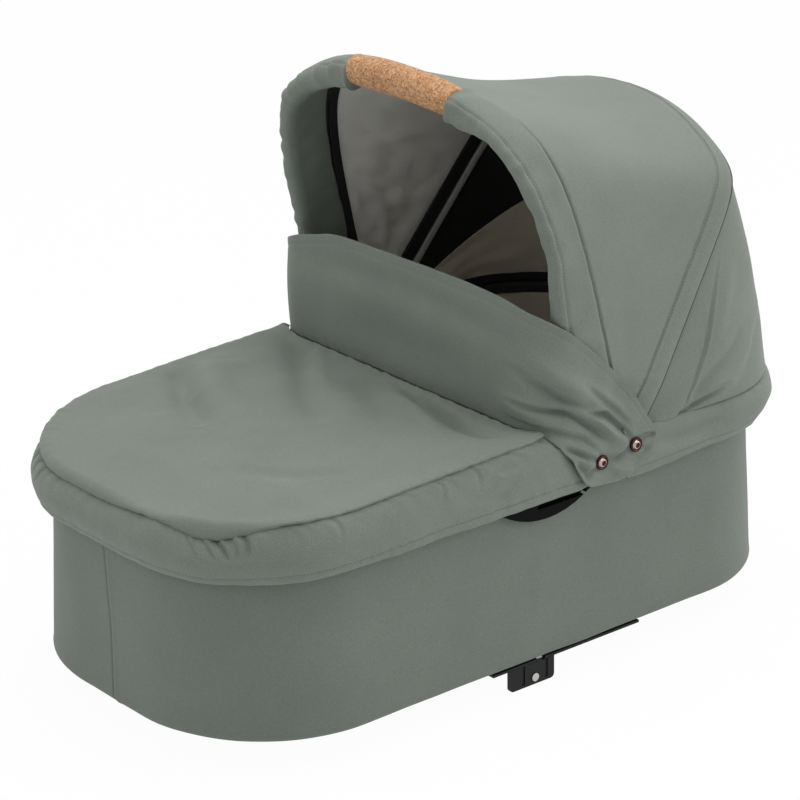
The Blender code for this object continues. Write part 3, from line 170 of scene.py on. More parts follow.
# Edges of the flap as (place along the side, height)
FLAP_TOP = ((-0.26, 0.4180), (-0.1229, 0.4195), (-0.0823, 0.4190), (-0.0341, 0.4165), (-0.0106, 0.4095),
            (0.0237, 0.3955), (0.0513, 0.3752), (0.0734, 0.3534), (0.0942, 0.3341), (0.1244, 0.3010),
            (0.1506, 0.2640), (0.1690, 0.2380))
FLAP_TOP_FAR = ((-0.26, 0.4180), (-0.13, 0.4165), (-0.0926, 0.4135), (-0.067, 0.4055), (-0.0326, 0.3975),
                (-0.010, 0.3880), (0.0237, 0.3730), (0.0513, 0.3540), (0.0734, 0.3360), (0.0942, 0.3180),
                (0.1244, 0.2900), (0.1506, 0.2570), (0.1690, 0.2380))
FLAP_LOW = ((-0.26, 0.2705), (-0.0941, 0.2705), (-0.010, 0.2690), (0.0074, 0.2655), (0.0220, 0.2575),
            (0.0340, 0.2455), (0.0480, 0.2270), (0.0600, 0.2020), (0.0680, 0.1960), (0.0920, 0.1930),
            (0.1150, 0.1915), (0.1350, 0.1960), (0.1520, 0.2120), (0.1690, 0.2300))
STUDS = ((0.0870, 0.2200), (0.1380, 0.2275))
STUD_SEAT_Y = 0.2400
# Outline of a stud as (radius, height): its rim, dished ring and dome
STUD_PROFILE = (
    (0.0, -0.0016), (0.0070, -0.0016), (0.0078, -0.0004), (0.0080, 0.0008), (0.0077, 0.0018),
    (0.0070, 0.0023), (0.0062, 0.0020), (0.0055, 0.0013), (0.0049, 0.0012), (0.0046, 0.0022),
    (0.0040, 0.0032), (0.0029, 0.0036), (0.0017, 0.0031), (0.0, 0.0027),
)

# Folds of the flap's panel as (line across and up, width, depth)
PANEL_FOLDS = (
    (((-0.30, 0.390), (-0.18, 0.381), (-0.06, 0.376), (0.0, 0.366)), 0.016, -0.0022),
    (((-0.30, 0.330), (-0.20, 0.318), (-0.10, 0.322)), 0.024, -0.0020),
)
# Gathers of a wing as (line along the side and up, width, depth, lean)
WING_FOLDS = (
    (((-0.030, 0.304), (0.037, 0.2925), (0.0756, 0.2652), (0.100, 0.243)), 0.0038, -0.0036, 0.0018),
    (((-0.025, 0.343), (0.0144, 0.3236), (0.0495, 0.2975), (0.072, 0.284)), 0.0056, -0.0030, 0.0014),
    (((0.046, 0.2900), (0.0903, 0.2775), (0.1244, 0.246), (0.134, 0.233)), 0.0038, -0.0032, 0.0016),
    (((-0.010, 0.3640), (0.0338, 0.3286), (0.066, 0.306), (0.110, 0.275)), 0.0110, 0.0030),
    (((0.022, 0.3080), (0.0679, 0.2821), (0.1055, 0.2481), (0.122, 0.236)), 0.0055, 0.0034),
    (((-0.045, 0.282), (0.020, 0.2735), (0.060, 0.2560), (0.084, 0.232)), 0.0036, -0.0022, 0.0012),
    (((0.060, 0.318), (0.100, 0.283), (0.128, 0.254)), 0.0042, -0.0022, 0.0012),
    (((0.030, 0.2510), (0.056, 0.238), (0.081, 0.2235)), 0.0038, -0.0026, 0.0012),
    (((0.036, 0.2445), (0.060, 0.226), (0.080, 0.2195)), 0.0040, 0.0022),
    (((0.050, 0.2330), (0.066, 0.2110), (0.081, 0.2165)), 0.0040, -0.0020),
    (((0.090, 0.2215), (0.110, 0.2190), (0.131, 0.2265)), 0.0045, -0.0022, 0.0008),
    (((0.092, 0.2180), (0.112, 0.2050), (0.134, 0.1990)), 0.0055, 0.0020),
    (((0.139, 0.2310), (0.152, 0.2355), (0.168, 0.2330)), 0.0028, -0.0024, 0.0010),
    (((0.138, 0.2240), (0.150, 0.2180), (0.158, 0.2190)), 0.0040, -0.0014, 0.0008),
    (((-0.070, 0.3080), (-0.010, 0.2960), (0.030, 0.2780)), 0.0120, 0.0024),
    (((-0.110, 0.2880), (-0.050, 0.2830), (0.020, 0.2640)), 0.0090, -0.0018),
)

# Folds of the hood's back as (line in x and z, width, depth, lean)
REAR_FOLDS = (
    (((0.288, 0.400), (0.252, 0.311), (0.210, 0.236)), 0.0019, -0.0010, 0.0017),
    (((0.205, 0.242), (0.240, 0.252), (0.274, 0.262)), 0.0038, -0.0044, 0.0018),
    (((0.216, 0.251), (0.258, 0.281), (0.292, 0.298), (0.318, 0.318)), 0.0080, -0.0032, 0.0012),
    (((0.232, 0.250), (0.290, 0.266), (0.346, 0.295)), 0.0100, 0.0034, 0.0),
    (((0.285, 0.262), (0.330, 0.284), (0.366, 0.312)), 0.0090, -0.0026, 0.0010),
    (((0.262, 0.310), (0.285, 0.352), (0.312, 0.402)), 0.0120, 0.0024, 0.0),
)
# Creases of the front lining as (place round the bow, depth)
LINING_CREASES = ((0.20, -0.0020), (0.62, -0.0026), (0.70, 0.0024), (0.77, -0.0022), (0.84, 0.0020))

# CAD pieces that show, with their finish
NODE_LOOKS = {
    "side_housing": "black", "release_lever": "black", "hood_hub": "black", "pivot_bush": "black",
    "adapter_bracket": "bracket", "adapter_plate": "bracket", "adapter_disc": "white",
    "adapter_screw": "steel", "latch": "steel", "pull_strip": "steel", "pivot_pin": "steel",
    "stud_socket": "steel", "base_tray": "grey", "rim_frame": "grey", "wall_shell": "board",
    "front_bow": "aluminium", "middle_bow": "aluminium",
}

# Stage
WORLD_LIGHT = 0.52
FLOOR_Z = -0.0305
FLOOR_WHITE = 0.97
FLOOR_HALF = 6.0
LIGHTS = (
    ("top", (0.3, -0.2, 3.0), (0.0, 0.0, 0.2), 2.2, 48.0),
    ("right", (2.6, -2.2, 1.5), (0.1, 0.0, 0.3), 1.8, 28.0),
    ("left", (-2.6, 1.2, 1.6), (0.0, 0.0, 0.3), 1.8, 11.0),
)

DENSE = 1.0


# Numbers

def smooth(x):
    """0 below 0, 1 above 1, eased between."""
    x = np.clip(x, 0.0, 1.0)
    return x * x * (3.0 - 2.0 * x)


def mix(a, b, share):
    """Blend two values or arrays."""
    return a + (b - a) * share


def bell(x, width):
    """1 at 0, falling off on both sides within a width."""
    return np.exp(-(x / width) ** 2)


def fading(x, length):
    """1 at 0, fading over a length."""
    return np.exp(-x / length)


def steps(count):
    return max(6, int(count * DENSE))


def along(line):
    """Distance along a line of points."""
    gaps = np.linalg.norm(np.diff(line, axis=0), axis=1)
    return np.concatenate([[0.0], np.cumsum(gaps)])


def round_grid(points, row):
    """For each point of a grid, the distance along one of its rows."""
    return np.broadcast_to(along(points[row])[None, :], points.shape[:2])


def resample(line, count):
    """The same line with evenly spaced points."""
    line = np.asarray(line, float)
    marks = along(line)
    wanted = np.linspace(0.0, marks[-1], count)
    return np.stack([np.interp(wanted, marks, line[:, k]) for k in range(line.shape[1])], axis=1)


def rounded(line, count, passes=3):
    """A smooth line through few corner points."""
    line = np.asarray(line, float)
    for _ in range(passes):
        cut = [line[0]]
        for a, b in zip(line[:-1], line[1:]):
            cut += [0.75 * a + 0.25 * b, 0.25 * a + 0.75 * b]
        cut.append(line[-1])
        line = np.array(cut)
    return resample(line, count)


def ripple(a, b, size, seed):
    """Smooth random waviness, about -1 to 1, over two coordinates in metres."""
    a, b = np.broadcast_arrays(a, b)
    flat_a = np.ravel(a) / size
    flat_b = np.ravel(b) / size
    values = [noise.noise(Vector((x, y, seed))) for x, y in zip(flat_a, flat_b)]
    return np.reshape(values, np.shape(a)) * 1.6


def fold(a, b, line, width, depth, lean=0.0):
    """Height of one fold that runs along a line on a surface with coordinates a and b.

    It is a groove for a negative depth and a ridge for a positive one. With lean it also lifts
    the surface on the line's left and sinks it on the right.
    """
    line = np.asarray(line, float)
    best = np.full(np.shape(a), 1e9)
    signed = np.zeros(np.shape(a))
    place = np.zeros(np.shape(a))
    marks = along(line)
    for k in range(len(line) - 1):
        step = line[k + 1] - line[k]
        length = float(np.hypot(*step))
        share = ((a - line[k, 0]) * step[0] + (b - line[k, 1]) * step[1]) / length ** 2
        share = np.clip(share, 0.0, 1.0)
        da = a - (line[k, 0] + share * step[0])
        db = b - (line[k, 1] + share * step[1])
        away = np.hypot(da, db)
        side = np.sign(step[0] * db - step[1] * da)
        nearer = away < best
        best = np.where(nearer, away, best)
        signed = np.where(nearer, away * side, signed)
        place = np.where(nearer, (marks[k] + share * length) / marks[-1], place)
    ease = np.sin(pi * np.clip(place, 0.02, 0.98)) ** 0.6
    shape = bell(best, width)
    return FOLDS * ease * (depth * shape + lean * (signed / width) * np.exp(-0.5 * (best / width) ** 2))


# Grids of points

def normals(points):
    """Unit normal at each point of a grid."""
    down = np.gradient(points, axis=0)
    across = np.gradient(points, axis=1)
    cross = np.cross(across, down)
    return cross / (np.linalg.norm(cross, axis=2, keepdims=True) + 1e-12)


def lifted(points, height, out=None):
    """A grid pushed along its normals, away from out if that is given."""
    direction = normals(points)
    if out is not None:
        direction = facing(points, direction, out)
    return points + direction * height[..., None]


def facing(points, direction, centre):
    """Turn all normals away from a point."""
    outwards = points - np.asarray(centre)
    return direction if float(np.sum(direction * outwards)) > 0 else -direction


def grid_faces(rows, columns, closed):
    """Faces of a grid, closed round its columns or not."""
    faces = []
    last = columns if closed else columns - 1
    for i in range(rows - 1):
        for k in range(last):
            low = i * columns + k
            following = i * columns + (k + 1) % columns
            faces.append((low, following, following + columns, low + columns))
    return faces


def add_mesh(name, verts, faces, look, uvs=None):
    """A smooth-shaded object with one material and metric texture coordinates."""
    mesh = bpy.data.meshes.new(name)
    mesh.from_pydata([tuple(v) for v in verts], [], faces)
    mesh.materials.append(look)
    if uvs is not None:
        layer = mesh.uv_layers.new(name="UVMap")
        index = np.empty(len(mesh.loops), dtype=np.int32)
        mesh.loops.foreach_get("vertex_index", index)
        layer.data.foreach_set("uv", np.asarray(uvs, dtype=np.float32)[index].ravel())
    mesh.shade_smooth()
    made = bpy.data.objects.new(name, mesh)
    bpy.context.scene.collection.objects.link(made)
    return made


def metric_uv(points):
    """Texture coordinates of a grid in metres, from its middle row and column."""
    rows, columns = points.shape[:2]
    across = along(points[rows // 2])
    down = along(points[:, columns // 2])
    return np.stack(np.meshgrid(across, down), axis=-1).reshape(-1, 2)


def cloth(name, points, look, thick=CLOTH, centre=(0.0, 0.0, 0.1), closed=False):
    """A sheet from a grid of points on its outer face, thickened towards centre."""
    rows, columns = points.shape[:2]
    faces = grid_faces(rows, columns, closed)
    direction = normals(points)
    if float(np.sum(direction * (points - np.asarray(centre)))) > 0:
        faces = [face[::-1] for face in faces]
    made = add_mesh(name, points.reshape(-1, 3), faces, look, metric_uv(points))
    check = made.data.polygons[len(made.data.polygons) // 2]
    outwards = Vector(check.center) - Vector(centre)
    if check.normal.dot(outwards) < 0:
        made.data.flip_normals()
    solid = made.modifiers.new("thickness", "SOLIDIFY")
    solid.thickness = thick
    solid.offset = -1
    solid.use_even_offset = False
    return made


def tube(name, rings, look):
    """A closed skin over rings of points, with metric texture coordinates."""
    rows, columns = rings.shape[:2]
    faces = grid_faces(rows, columns, True)
    faces.append(tuple(range(columns))[::-1])
    faces.append(tuple((rows - 1) * columns + k for k in range(columns)))
    round_it = np.concatenate([rings[rows // 2], rings[rows // 2][:1]])
    uvs = np.stack(np.meshgrid(along(round_it)[:-1], along(rings[:, 0])), axis=-1).reshape(-1, 2)
    made = add_mesh(name, rings.reshape(-1, 3), faces, look, uvs)
    middle = Vector(rings.reshape(-1, 3).mean(axis=0))
    inside_out = sum(f.normal.dot(f.center - middle) for f in made.data.polygons)
    if inside_out < 0:
        made.data.flip_normals()
    return made


def stitches(name, line, out, look):
    """A row of thread stitches along a line, each a small rounded bar lying on the cloth."""
    line = np.asarray(line, float)
    out = np.asarray(out, float)
    marks = along(line)
    pitch = STITCH_LENGTH + STITCH_GAP
    count = int(marks[-1] / pitch)
    verts = []
    faces = []
    ring = 6
    profile = ((0.0, 0.25), (0.15, 1.0), (0.85, 1.0), (1.0, 0.25))
    for k in range(count):
        start = k * pitch
        ends = [np.array([np.interp(s, marks, line[:, c]) for c in range(3)])
                for s in (start, start + STITCH_LENGTH)]
        up = np.array([np.interp(start, marks, out[:, c]) for c in range(3)])
        run = ends[1] - ends[0]
        side = np.cross(run, up)
        side = side / (np.linalg.norm(side) + 1e-12)
        up = up / (np.linalg.norm(up) + 1e-12)
        base = len(verts)
        for share, size in profile:
            for i in range(ring):
                turn = 2 * pi * i / ring
                spot = ends[0] + run * share + STITCH_RADIUS * size * (side * cos(turn) + up * sin(turn))
                verts.append(spot)
        for j in range(len(profile) - 1):
            for i in range(ring):
                low = base + j * ring + i
                following = base + j * ring + (i + 1) % ring
                faces.append((low, following, following + ring, low + ring))
        faces.append(tuple(base + i for i in range(ring))[::-1])
        faces.append(tuple(base + (len(profile) - 1) * ring + i for i in range(ring)))
    return add_mesh(name, verts, faces, look)


# Materials

def linear(value):
    """One 0-255 display value as a linear one."""
    share = value / 255.0
    return share / 12.92 if share <= 0.04045 else ((share + 0.055) / 1.055) ** 2.4


def colour(red, green, blue):
    """A display colour as linear RGBA."""
    return (linear(red), linear(green), linear(blue), 1.0)


def darker(shade, share):
    """A colour with each of its parts reduced to a share."""
    return tuple(share * part for part in shade[:3]) + (1.0,)


def new_look(name, roughness, sheen=0.0, metallic=0.0):
    """An empty node material and its shader."""
    look = bpy.data.materials.new(name)
    look.use_nodes = True
    shader = look.node_tree.nodes["Principled BSDF"]
    shader.inputs["Roughness"].default_value = roughness
    shader.inputs["Sheen Weight"].default_value = sheen
    shader.inputs["Metallic"].default_value = metallic
    return look, look.node_tree, shader


def noise_node(tree, scale, detail):
    """A noise texture on object coordinates, in metres."""
    where = tree.nodes.new("ShaderNodeTexCoord")
    texture = tree.nodes.new("ShaderNodeTexNoise")
    texture.inputs["Scale"].default_value = scale
    texture.inputs["Detail"].default_value = detail
    tree.links.new(where.outputs["Object"], texture.inputs["Vector"])
    return texture


def ramp_node(tree, source, stops):
    """A colour ramp fed by a texture's value."""
    ramp = tree.nodes.new("ShaderNodeValToRGB")
    while len(ramp.color_ramp.elements) < len(stops):
        ramp.color_ramp.elements.new(0.5)
    for element, (place, shade) in zip(ramp.color_ramp.elements, stops):
        element.position = place
        element.color = shade
    tree.links.new(source, ramp.inputs["Fac"])
    return ramp


def blend_node(tree, mode, share, first, second):
    """Mix two colours, each an output or a constant."""
    node = tree.nodes.new("ShaderNodeMix")
    node.data_type = "RGBA"
    node.blend_type = mode
    node.inputs["Factor"].default_value = share
    for socket, value in ((node.inputs["A"], first), (node.inputs["B"], second)):
        if isinstance(value, tuple):
            socket.default_value = value
        else:
            tree.links.new(value, socket)
    return node.outputs["Result"]


def bump_node(tree, height, distance, strength, normal=None):
    """A bump from a height value, on top of another bump if given."""
    bump = tree.nodes.new("ShaderNodeBump")
    bump.inputs["Distance"].default_value = distance
    bump.inputs["Strength"].default_value = strength
    tree.links.new(height, bump.inputs["Height"])
    if normal is not None:
        tree.links.new(normal, bump.inputs["Normal"])
    return bump.outputs["Normal"]


def weave_height(tree, pitch):
    """Height of a plain weave: two crossed sets of threads in texture coordinates."""
    where = tree.nodes.new("ShaderNodeTexCoord")
    waves = []
    for direction in ("X", "Y"):
        wave = tree.nodes.new("ShaderNodeTexWave")
        wave.wave_type = "BANDS"
        wave.bands_direction = direction
        wave.inputs["Scale"].default_value = 0.314 / pitch
        wave.inputs["Distortion"].default_value = 0.6
        wave.inputs["Detail"].default_value = 1.0
        wave.inputs["Detail Scale"].default_value = 2.0
        tree.links.new(where.outputs["UV"], wave.inputs["Vector"])
        waves.append(wave.outputs["Fac"])
    join = tree.nodes.new("ShaderNodeMath")
    join.operation = "MAXIMUM"
    tree.links.new(waves[0], join.inputs[0])
    tree.links.new(waves[1], join.inputs[1])
    return join.outputs[0]


def fabric_look(name, light, dark, pitch=0.0009, sheen=0.12):
    """Woven cloth: threads of two shades, slight melange, fine weave and soft mottling."""
    look, tree, shader = new_look(name, CLOTH_ROUGHNESS, sheen)
    threads = noise_node(tree, 900.0, 3.0)
    ramp = ramp_node(tree, threads.outputs["Fac"], [(0.32, dark), (0.68, light)])
    mottle = noise_node(tree, 14.0, 2.0)
    shade = ramp_node(tree, mottle.outputs["Fac"], [(0.3, darker(WHITE, CLOTH_MOTTLE)), (0.7, WHITE)])
    mixed = blend_node(tree, "MULTIPLY", 1.0, ramp.outputs["Color"], shade.outputs["Color"])
    tree.links.new(mixed, shader.inputs["Base Color"])
    fine = bump_node(tree, weave_height(tree, pitch), WEAVE_DEPTH, 0.35)
    crumple = noise_node(tree, 60.0, 3.0)
    both = bump_node(tree, crumple.outputs["Fac"], 0.0006, 0.25, fine)
    tree.links.new(both, shader.inputs["Normal"])
    return look


def cork_look():
    """Pressed cork: pale granules with dark specks and pores."""
    look, tree, shader = new_look("cork", 0.72)
    grains = tree.nodes.new("ShaderNodeTexVoronoi")
    grains.inputs["Scale"].default_value = 420.0
    where = tree.nodes.new("ShaderNodeTexCoord")
    tree.links.new(where.outputs["Object"], grains.inputs["Vector"])
    browns = [(0.0, colour(150, 100, 62)), (0.35, colour(188, 138, 94)), (0.7, colour(206, 160, 116)),
              (1.0, colour(222, 180, 138))]
    tones = ramp_node(tree, grains.outputs["Color"], browns)
    specks = noise_node(tree, 520.0, 2.0)
    dark = ramp_node(tree, specks.outputs["Fac"], [(0.30, (0.30, 0.22, 0.16, 1.0)), (0.42, WHITE)])
    patches = noise_node(tree, 130.0, 2.0)
    soft = ramp_node(tree, patches.outputs["Fac"], [(0.3, (0.78, 0.74, 0.70, 1.0)), (0.65, WHITE)])
    mixed = blend_node(tree, "MULTIPLY", 0.85, tones.outputs["Color"], dark.outputs["Color"])
    mixed = blend_node(tree, "MULTIPLY", 0.8, mixed, soft.outputs["Color"])
    tree.links.new(mixed, shader.inputs["Base Color"])
    first = bump_node(tree, grains.outputs["Distance"], 0.0006, 0.4)
    second = bump_node(tree, specks.outputs["Fac"], 0.0008, 0.5, first)
    tree.links.new(second, shader.inputs["Normal"])
    return look


def plastic_look(name, shade, rough=0.45, shine=0.5):
    """Moulded plastic with a fine texture and slight variation in shade."""
    look, tree, shader = new_look(name, rough)
    shader.inputs["Specular IOR Level"].default_value = shine
    shader.inputs["Base Color"].default_value = shade
    spread = noise_node(tree, 40.0, 3.0)
    tint = ramp_node(tree, spread.outputs["Fac"], [(0.3, darker(shade, 0.85)), (0.7, shade)])
    tree.links.new(tint.outputs["Color"], shader.inputs["Base Color"])
    fine = noise_node(tree, 1600.0, 2.0)
    tree.links.new(bump_node(tree, fine.outputs["Fac"], PLASTIC_GRAIN, 0.5), shader.inputs["Normal"])
    return look


def metal_look(name, shade, rough=0.28):
    """Brushed or plated metal with light wear."""
    look, tree, shader = new_look(name, rough, metallic=1.0)
    wear = noise_node(tree, 220.0, 3.0)
    tint = ramp_node(tree, wear.outputs["Fac"], [(0.3, darker(shade, 0.8)), (0.7, shade)])
    tree.links.new(tint.outputs["Color"], shader.inputs["Base Color"])
    tree.links.new(bump_node(tree, wear.outputs["Fac"], 0.0001, 0.2), shader.inputs["Normal"])
    return look


def mesh_look():
    """Black vent mesh: an open knit, darker between its threads."""
    look, tree, shader = new_look("vent_mesh_look", 0.9)
    where = tree.nodes.new("ShaderNodeTexCoord")
    cells = tree.nodes.new("ShaderNodeTexVoronoi")
    cells.inputs["Scale"].default_value = 650.0
    tree.links.new(where.outputs["UV"], cells.inputs["Vector"])
    blacks = [(0.2, darker(WHITE, 0.0006)), (0.7, darker(WHITE, 0.006))]
    tones = ramp_node(tree, cells.outputs["Distance"], blacks)
    tree.links.new(tones.outputs["Color"], shader.inputs["Base Color"])
    tree.links.new(bump_node(tree, cells.outputs["Distance"], 0.0004, 0.6), shader.inputs["Normal"])
    return look


LOOKS = {
    "sage": fabric_look("sage_weave", colour(128, 136, 126), colour(110, 118, 108)),
    "sage_dark": fabric_look("sage_weave_body", colour(122, 130, 121), colour(104, 112, 103)),
    "thread": fabric_look("sage_thread", colour(96, 103, 95), colour(84, 90, 83), sheen=0.0),
    # Dark cord for the slot behind the hood's channel: painted shade standing in for the shadow in that
    # gap.
    "painted_gap_shade": fabric_look("painted_gap_shade_look", colour(50, 57, 51), colour(38, 44, 39), sheen=0.0),
    "lining": fabric_look("lining_weave", colour(243, 241, 234), colour(228, 226, 219), pitch=0.0007),
    "taupe": fabric_look("taupe_weave", colour(224, 215, 197), colour(206, 197, 180), pitch=0.0007),
    "tape": fabric_look("black_tape", colour(15, 15, 16), colour(8, 8, 9), pitch=0.0014, sheen=0.0),
    "grey_tape": fabric_look("grey_tape", colour(205, 204, 198), colour(186, 185, 179),
                             pitch=0.0012, sheen=0.0),
    "ticking": fabric_look("ticking", colour(226, 224, 216), colour(212, 210, 202), pitch=0.0011),
    "mesh": mesh_look(),
    "cork": cork_look(),
    "black": plastic_look("black_moulding", colour(9, 9, 9), 0.6, shine=0.06),
    "bracket": plastic_look("bracket_moulding", colour(22, 23, 22), 0.45, shine=0.2),
    "grey": plastic_look("grey_moulding", colour(34, 35, 35), 0.55),
    "board": plastic_look("fibre_board", colour(150, 140, 120), 0.8),
    "white": plastic_look("white_disc", colour(214, 212, 206), 0.4),
    "steel": metal_look("steel", colour(176, 176, 178)),
    "aluminium": metal_look("aluminium", colour(190, 192, 195), 0.35),
    # The pale copper is a painted highlight on the slope of each stud's dome. The dark copper is partly
    # the studs' own dark rim and partly painted shade over the dish and the top of the dome.
    "copper": metal_look("copper_plate", colour(186, 164, 154), 0.10),
    "copper_dark": metal_look("copper_dark", colour(66, 44, 38), 0.24),
}


# The basket's plan

def end_path(end, start_x, count):
    """Evenly spaced (x, y, outward x, outward y) from the near side round one end to the far side."""
    radius = FOOT_RADIUS if end < 0 else HEAD_RADIUS
    centre_x = end * (HALF_LENGTH - radius)
    centre_y = HALF_WIDTH - radius
    line = [(start_x, -HALF_WIDTH, 0.0, -1.0)]
    for side, turns in ((-1, np.linspace(0.5 * pi, 0.0, 40)), (1, np.linspace(0.0, 0.5 * pi, 40))):
        for turn in turns:
            out_x = end * cos(turn)
            out_y = side * sin(turn)
            line.append((centre_x + radius * out_x, side * centre_y + radius * out_y, out_x, out_y))
    line.append((start_x, HALF_WIDTH, 0.0, 1.0))
    line = np.array(line)
    marks = along(line[:, :2])
    wanted = np.linspace(0.0, marks[-1], count)
    path = np.stack([np.interp(wanted, marks, line[:, k]) for k in range(4)], axis=1)
    path[:, 2:] /= np.linalg.norm(path[:, 2:], axis=1, keepdims=True)
    return path, wanted


def loop_path(count):
    """The whole plan as a closed line, starting on the near side."""
    head, _ = end_path(1, 0.0, count // 2 + 1)
    foot, _ = end_path(-1, 0.0, count // 2 + 1)
    return np.concatenate([head[:-1], foot[::-1][:-1]])


def off_plan(path, grow, height):
    """Points on the plan moved outwards and set at a height, each alike or each by its own."""
    x = path[:, 0] + path[:, 2] * grow
    y = path[:, 1] + path[:, 3] * grow
    return np.stack([x, y, np.broadcast_to(height, x.shape)], axis=1)


def make_cover():
    """Outer cover of the basket: flared, turned in under the base, with an upright seam at the foot."""
    path = loop_path(steps(520))
    foot = (path[:, 0] < -0.4) & (np.abs(path[:, 1]) < 0.02)
    first = int(np.argmax(foot))
    finer = [(-HALF_LENGTH, y, -1.0, 0.0) for y in np.linspace(0.02, -0.02, 61)]
    path = np.concatenate([path[:first], finer, path[first + int(foot.sum()):]])
    rounding = [(COVER_FLARE - EDGE_RADIUS + EDGE_RADIUS * sin(t), EDGE_RADIUS * (1 - cos(t)))
                for t in np.linspace(0.0, 0.5 * pi, 9)]
    profile = [(-COVER_HEM, 0.0), (-0.5 * COVER_HEM, 0.0)] + rounding
    profile += [(COVER_FLARE * (1 - z / FLARE_TOP), z) for z in np.linspace(0.02, FLARE_TOP, steps(34))]
    profile += [(0.0, z) for z in np.linspace(0.2, WALL_TOP, 6)]
    points = np.stack([off_plan(path, grow, z) for grow, z in profile])
    around = np.broadcast_to(along(path[:, :2]), points.shape[:2])
    height = points[..., 2]
    wave = 0.0007 * ripple(around, height * 0.6, 0.16, 3.0) + 0.0003 * ripple(around, height, 0.05, 9.0)
    seam_y = np.interp(height, [0.0, 0.10, 0.19], [-0.0070, -0.0010, 0.0120])
    seam = bell(points[..., 1] - seam_y, 0.0011) * (points[..., 0] < -0.3)
    beside = bell(points[..., 1] - seam_y + 0.005, 0.004) * (points[..., 0] < -0.3)
    points = lifted(points, wave - 0.0019 * seam + 0.0007 * beside, (0, 0, 0.1))
    made = cloth("body_cover", points, LOOKS["sage_dark"], closed=True)
    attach(made, "basket")
    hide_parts("outer_cover")


# Apron and skirt

def seam_height(x):
    """The apron lies on the rim at the foot and climbs to the fold."""
    share = (x + HALF_LENGTH) / (FOLD_X + HALF_LENGTH)
    return RIM_TOP + 0.0028 + SEAM_RISE * np.clip(share, 0.0, 1.0)


def foot_turn(x, y):
    """Angle round the middle of the foot half, 0 at the foot and positive on the near side."""
    return np.arctan2(-y, -(x + 0.20))


def droop(x, y):
    """How far the edge seam hangs below the rim: more at the near foot corner."""
    far = SEAM_DROOP * smooth((x - DROOP_FROM_X) / (DROOP_FULL_X - DROOP_FROM_X))
    near = SEAM_DROOP * smooth((-0.325 - x) / 0.055) * (1.0 - 0.75 * bell(y + 0.085, 0.050))
    dip = 0.0072 * bell(foot_turn(x, y) - 0.67, 0.15)
    return mix(near + dip, far, smooth((y + 0.06) / 0.12))


def apron_folds(x, y):
    """Soft hollows and ridges of the apron, from the fold down towards the foot."""
    total = sum(fold(x, y, *row) for row in APRON_FOLDS)
    total += 0.0011 * ripple(x, y, 0.085, 4.0) + 0.0004 * ripple(x, y, 0.03, 8.0)
    near_fold = bell(FOLD_X - x, 0.016)
    total += near_fold * 0.0009 * ripple(y, x * 0.3, 0.016, 6.0)
    return 1.4 * total


def seam_pucker(marks, away, seed):
    """Small gathers beside a seam, at distance away from it."""
    strong = 0.6 + 1.6 * bell(marks - 0.415, 0.045) + 1.2 * bell(marks - 0.74, 0.06)
    fine = ripple(marks, away * 0.25, 0.011, seed)
    return 0.0013 * strong * fine * bell(away, 0.014)


def behind_flap(y):
    """How far the apron's back edge follows the flap round its corners."""
    beyond = np.clip(np.abs(y), FLAP_SIDE_Y - FLAP_CORNER, HALF_WIDTH) - (FLAP_SIDE_Y - FLAP_CORNER)
    return FLAP_CORNER - np.sqrt(FLAP_CORNER ** 2 - beyond ** 2)


def make_apron():
    """Sheet over the foot half, with its edge rolled down into the seam."""
    edge_x = FOLD_X - 0.0040
    count = steps(460)
    side, marks = end_path(-1, edge_x, count)
    across = steps(200)
    back = np.array([(edge_x, y, 1.0, 0.0) for y in np.linspace(HALF_WIDTH, -HALF_WIDTH, across)[1:-1]])
    loop = np.concatenate([side, back])
    on_fold = np.concatenate([np.zeros(count), np.ones(len(back))])
    marks = np.concatenate([marks, np.linspace(marks[-1], marks[-1] + 0.4, len(back))])
    turn = smooth(np.minimum(np.arange(count), np.arange(count)[::-1]) / 6.0)
    side_share = np.concatenate([turn, np.zeros(len(back))])
    target = np.stack([np.clip(loop[:, 0], -0.25, -0.09), np.zeros(len(loop))], axis=1)
    rows = []
    for edge in np.linspace(1.0, 0.0, 9)[:-1]:
        swing = edge * 0.5 * pi
        out = mix(SEAM_SHOULDER, SEAM_OUT + 0.0006, sin(swing)) - 0.0022 * max(0.0, edge - 0.8) * 5
        x = loop[:, 0] + loop[:, 2] * out * side_share
        y = loop[:, 1] + loop[:, 3] * mix(SEAM_OUT * sin(swing), out, side_share)
        down = (droop(x, y) + 0.003) * (1 - cos(swing)) + 0.0018 * max(0.0, edge - 0.8) * 5
        z = seam_height(x) - down * side_share
        away = (1.0 - edge) * 0.012
        pucker = seam_pucker(marks, np.full_like(marks, away), 2.0) * side_share
        rows.append(np.stack([x, y, z + pucker], axis=1))
    inner = steps(70)
    for ring in range(inner):
        inward = ring / (inner - 1)
        x = mix(loop[:, 0] + loop[:, 2] * SEAM_SHOULDER * side_share, target[:, 0], inward)
        y = mix(loop[:, 1] + loop[:, 3] * SEAM_SHOULDER * side_share, target[:, 1], inward)
        crown = 0.0105 * smooth(inward * 1.2) * smooth((FOLD_X - x) / 0.12)
        held = smooth(inward * 7.0) * smooth((FOLD_X - x) / 0.022)
        away = inward * 0.19 + 0.012
        pucker = seam_pucker(marks, away, 2.0) * side_share
        z = seam_height(x) + crown + apron_folds(x, y) * held + pucker
        z += (1 - held) * on_fold * 0.0006 * ripple(y, x * 0.3, 0.016, 6.0)
        rows.append(np.stack([x, y, z], axis=1))
    points = np.array(rows)
    points[..., 0] += behind_flap(points[..., 1]) * smooth((points[..., 0] + 0.045) / (0.045 + edge_x))
    made = cloth("apron", points, LOOKS["sage"], closed=True, centre=(-0.2, 0.0, 0.0))
    weld = made.modifiers.new("weld", "WELD")
    weld.merge_threshold = WELD_REACH
    made.modifiers.move(1, 0)
    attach(made, "basket")
    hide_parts("apron_top")


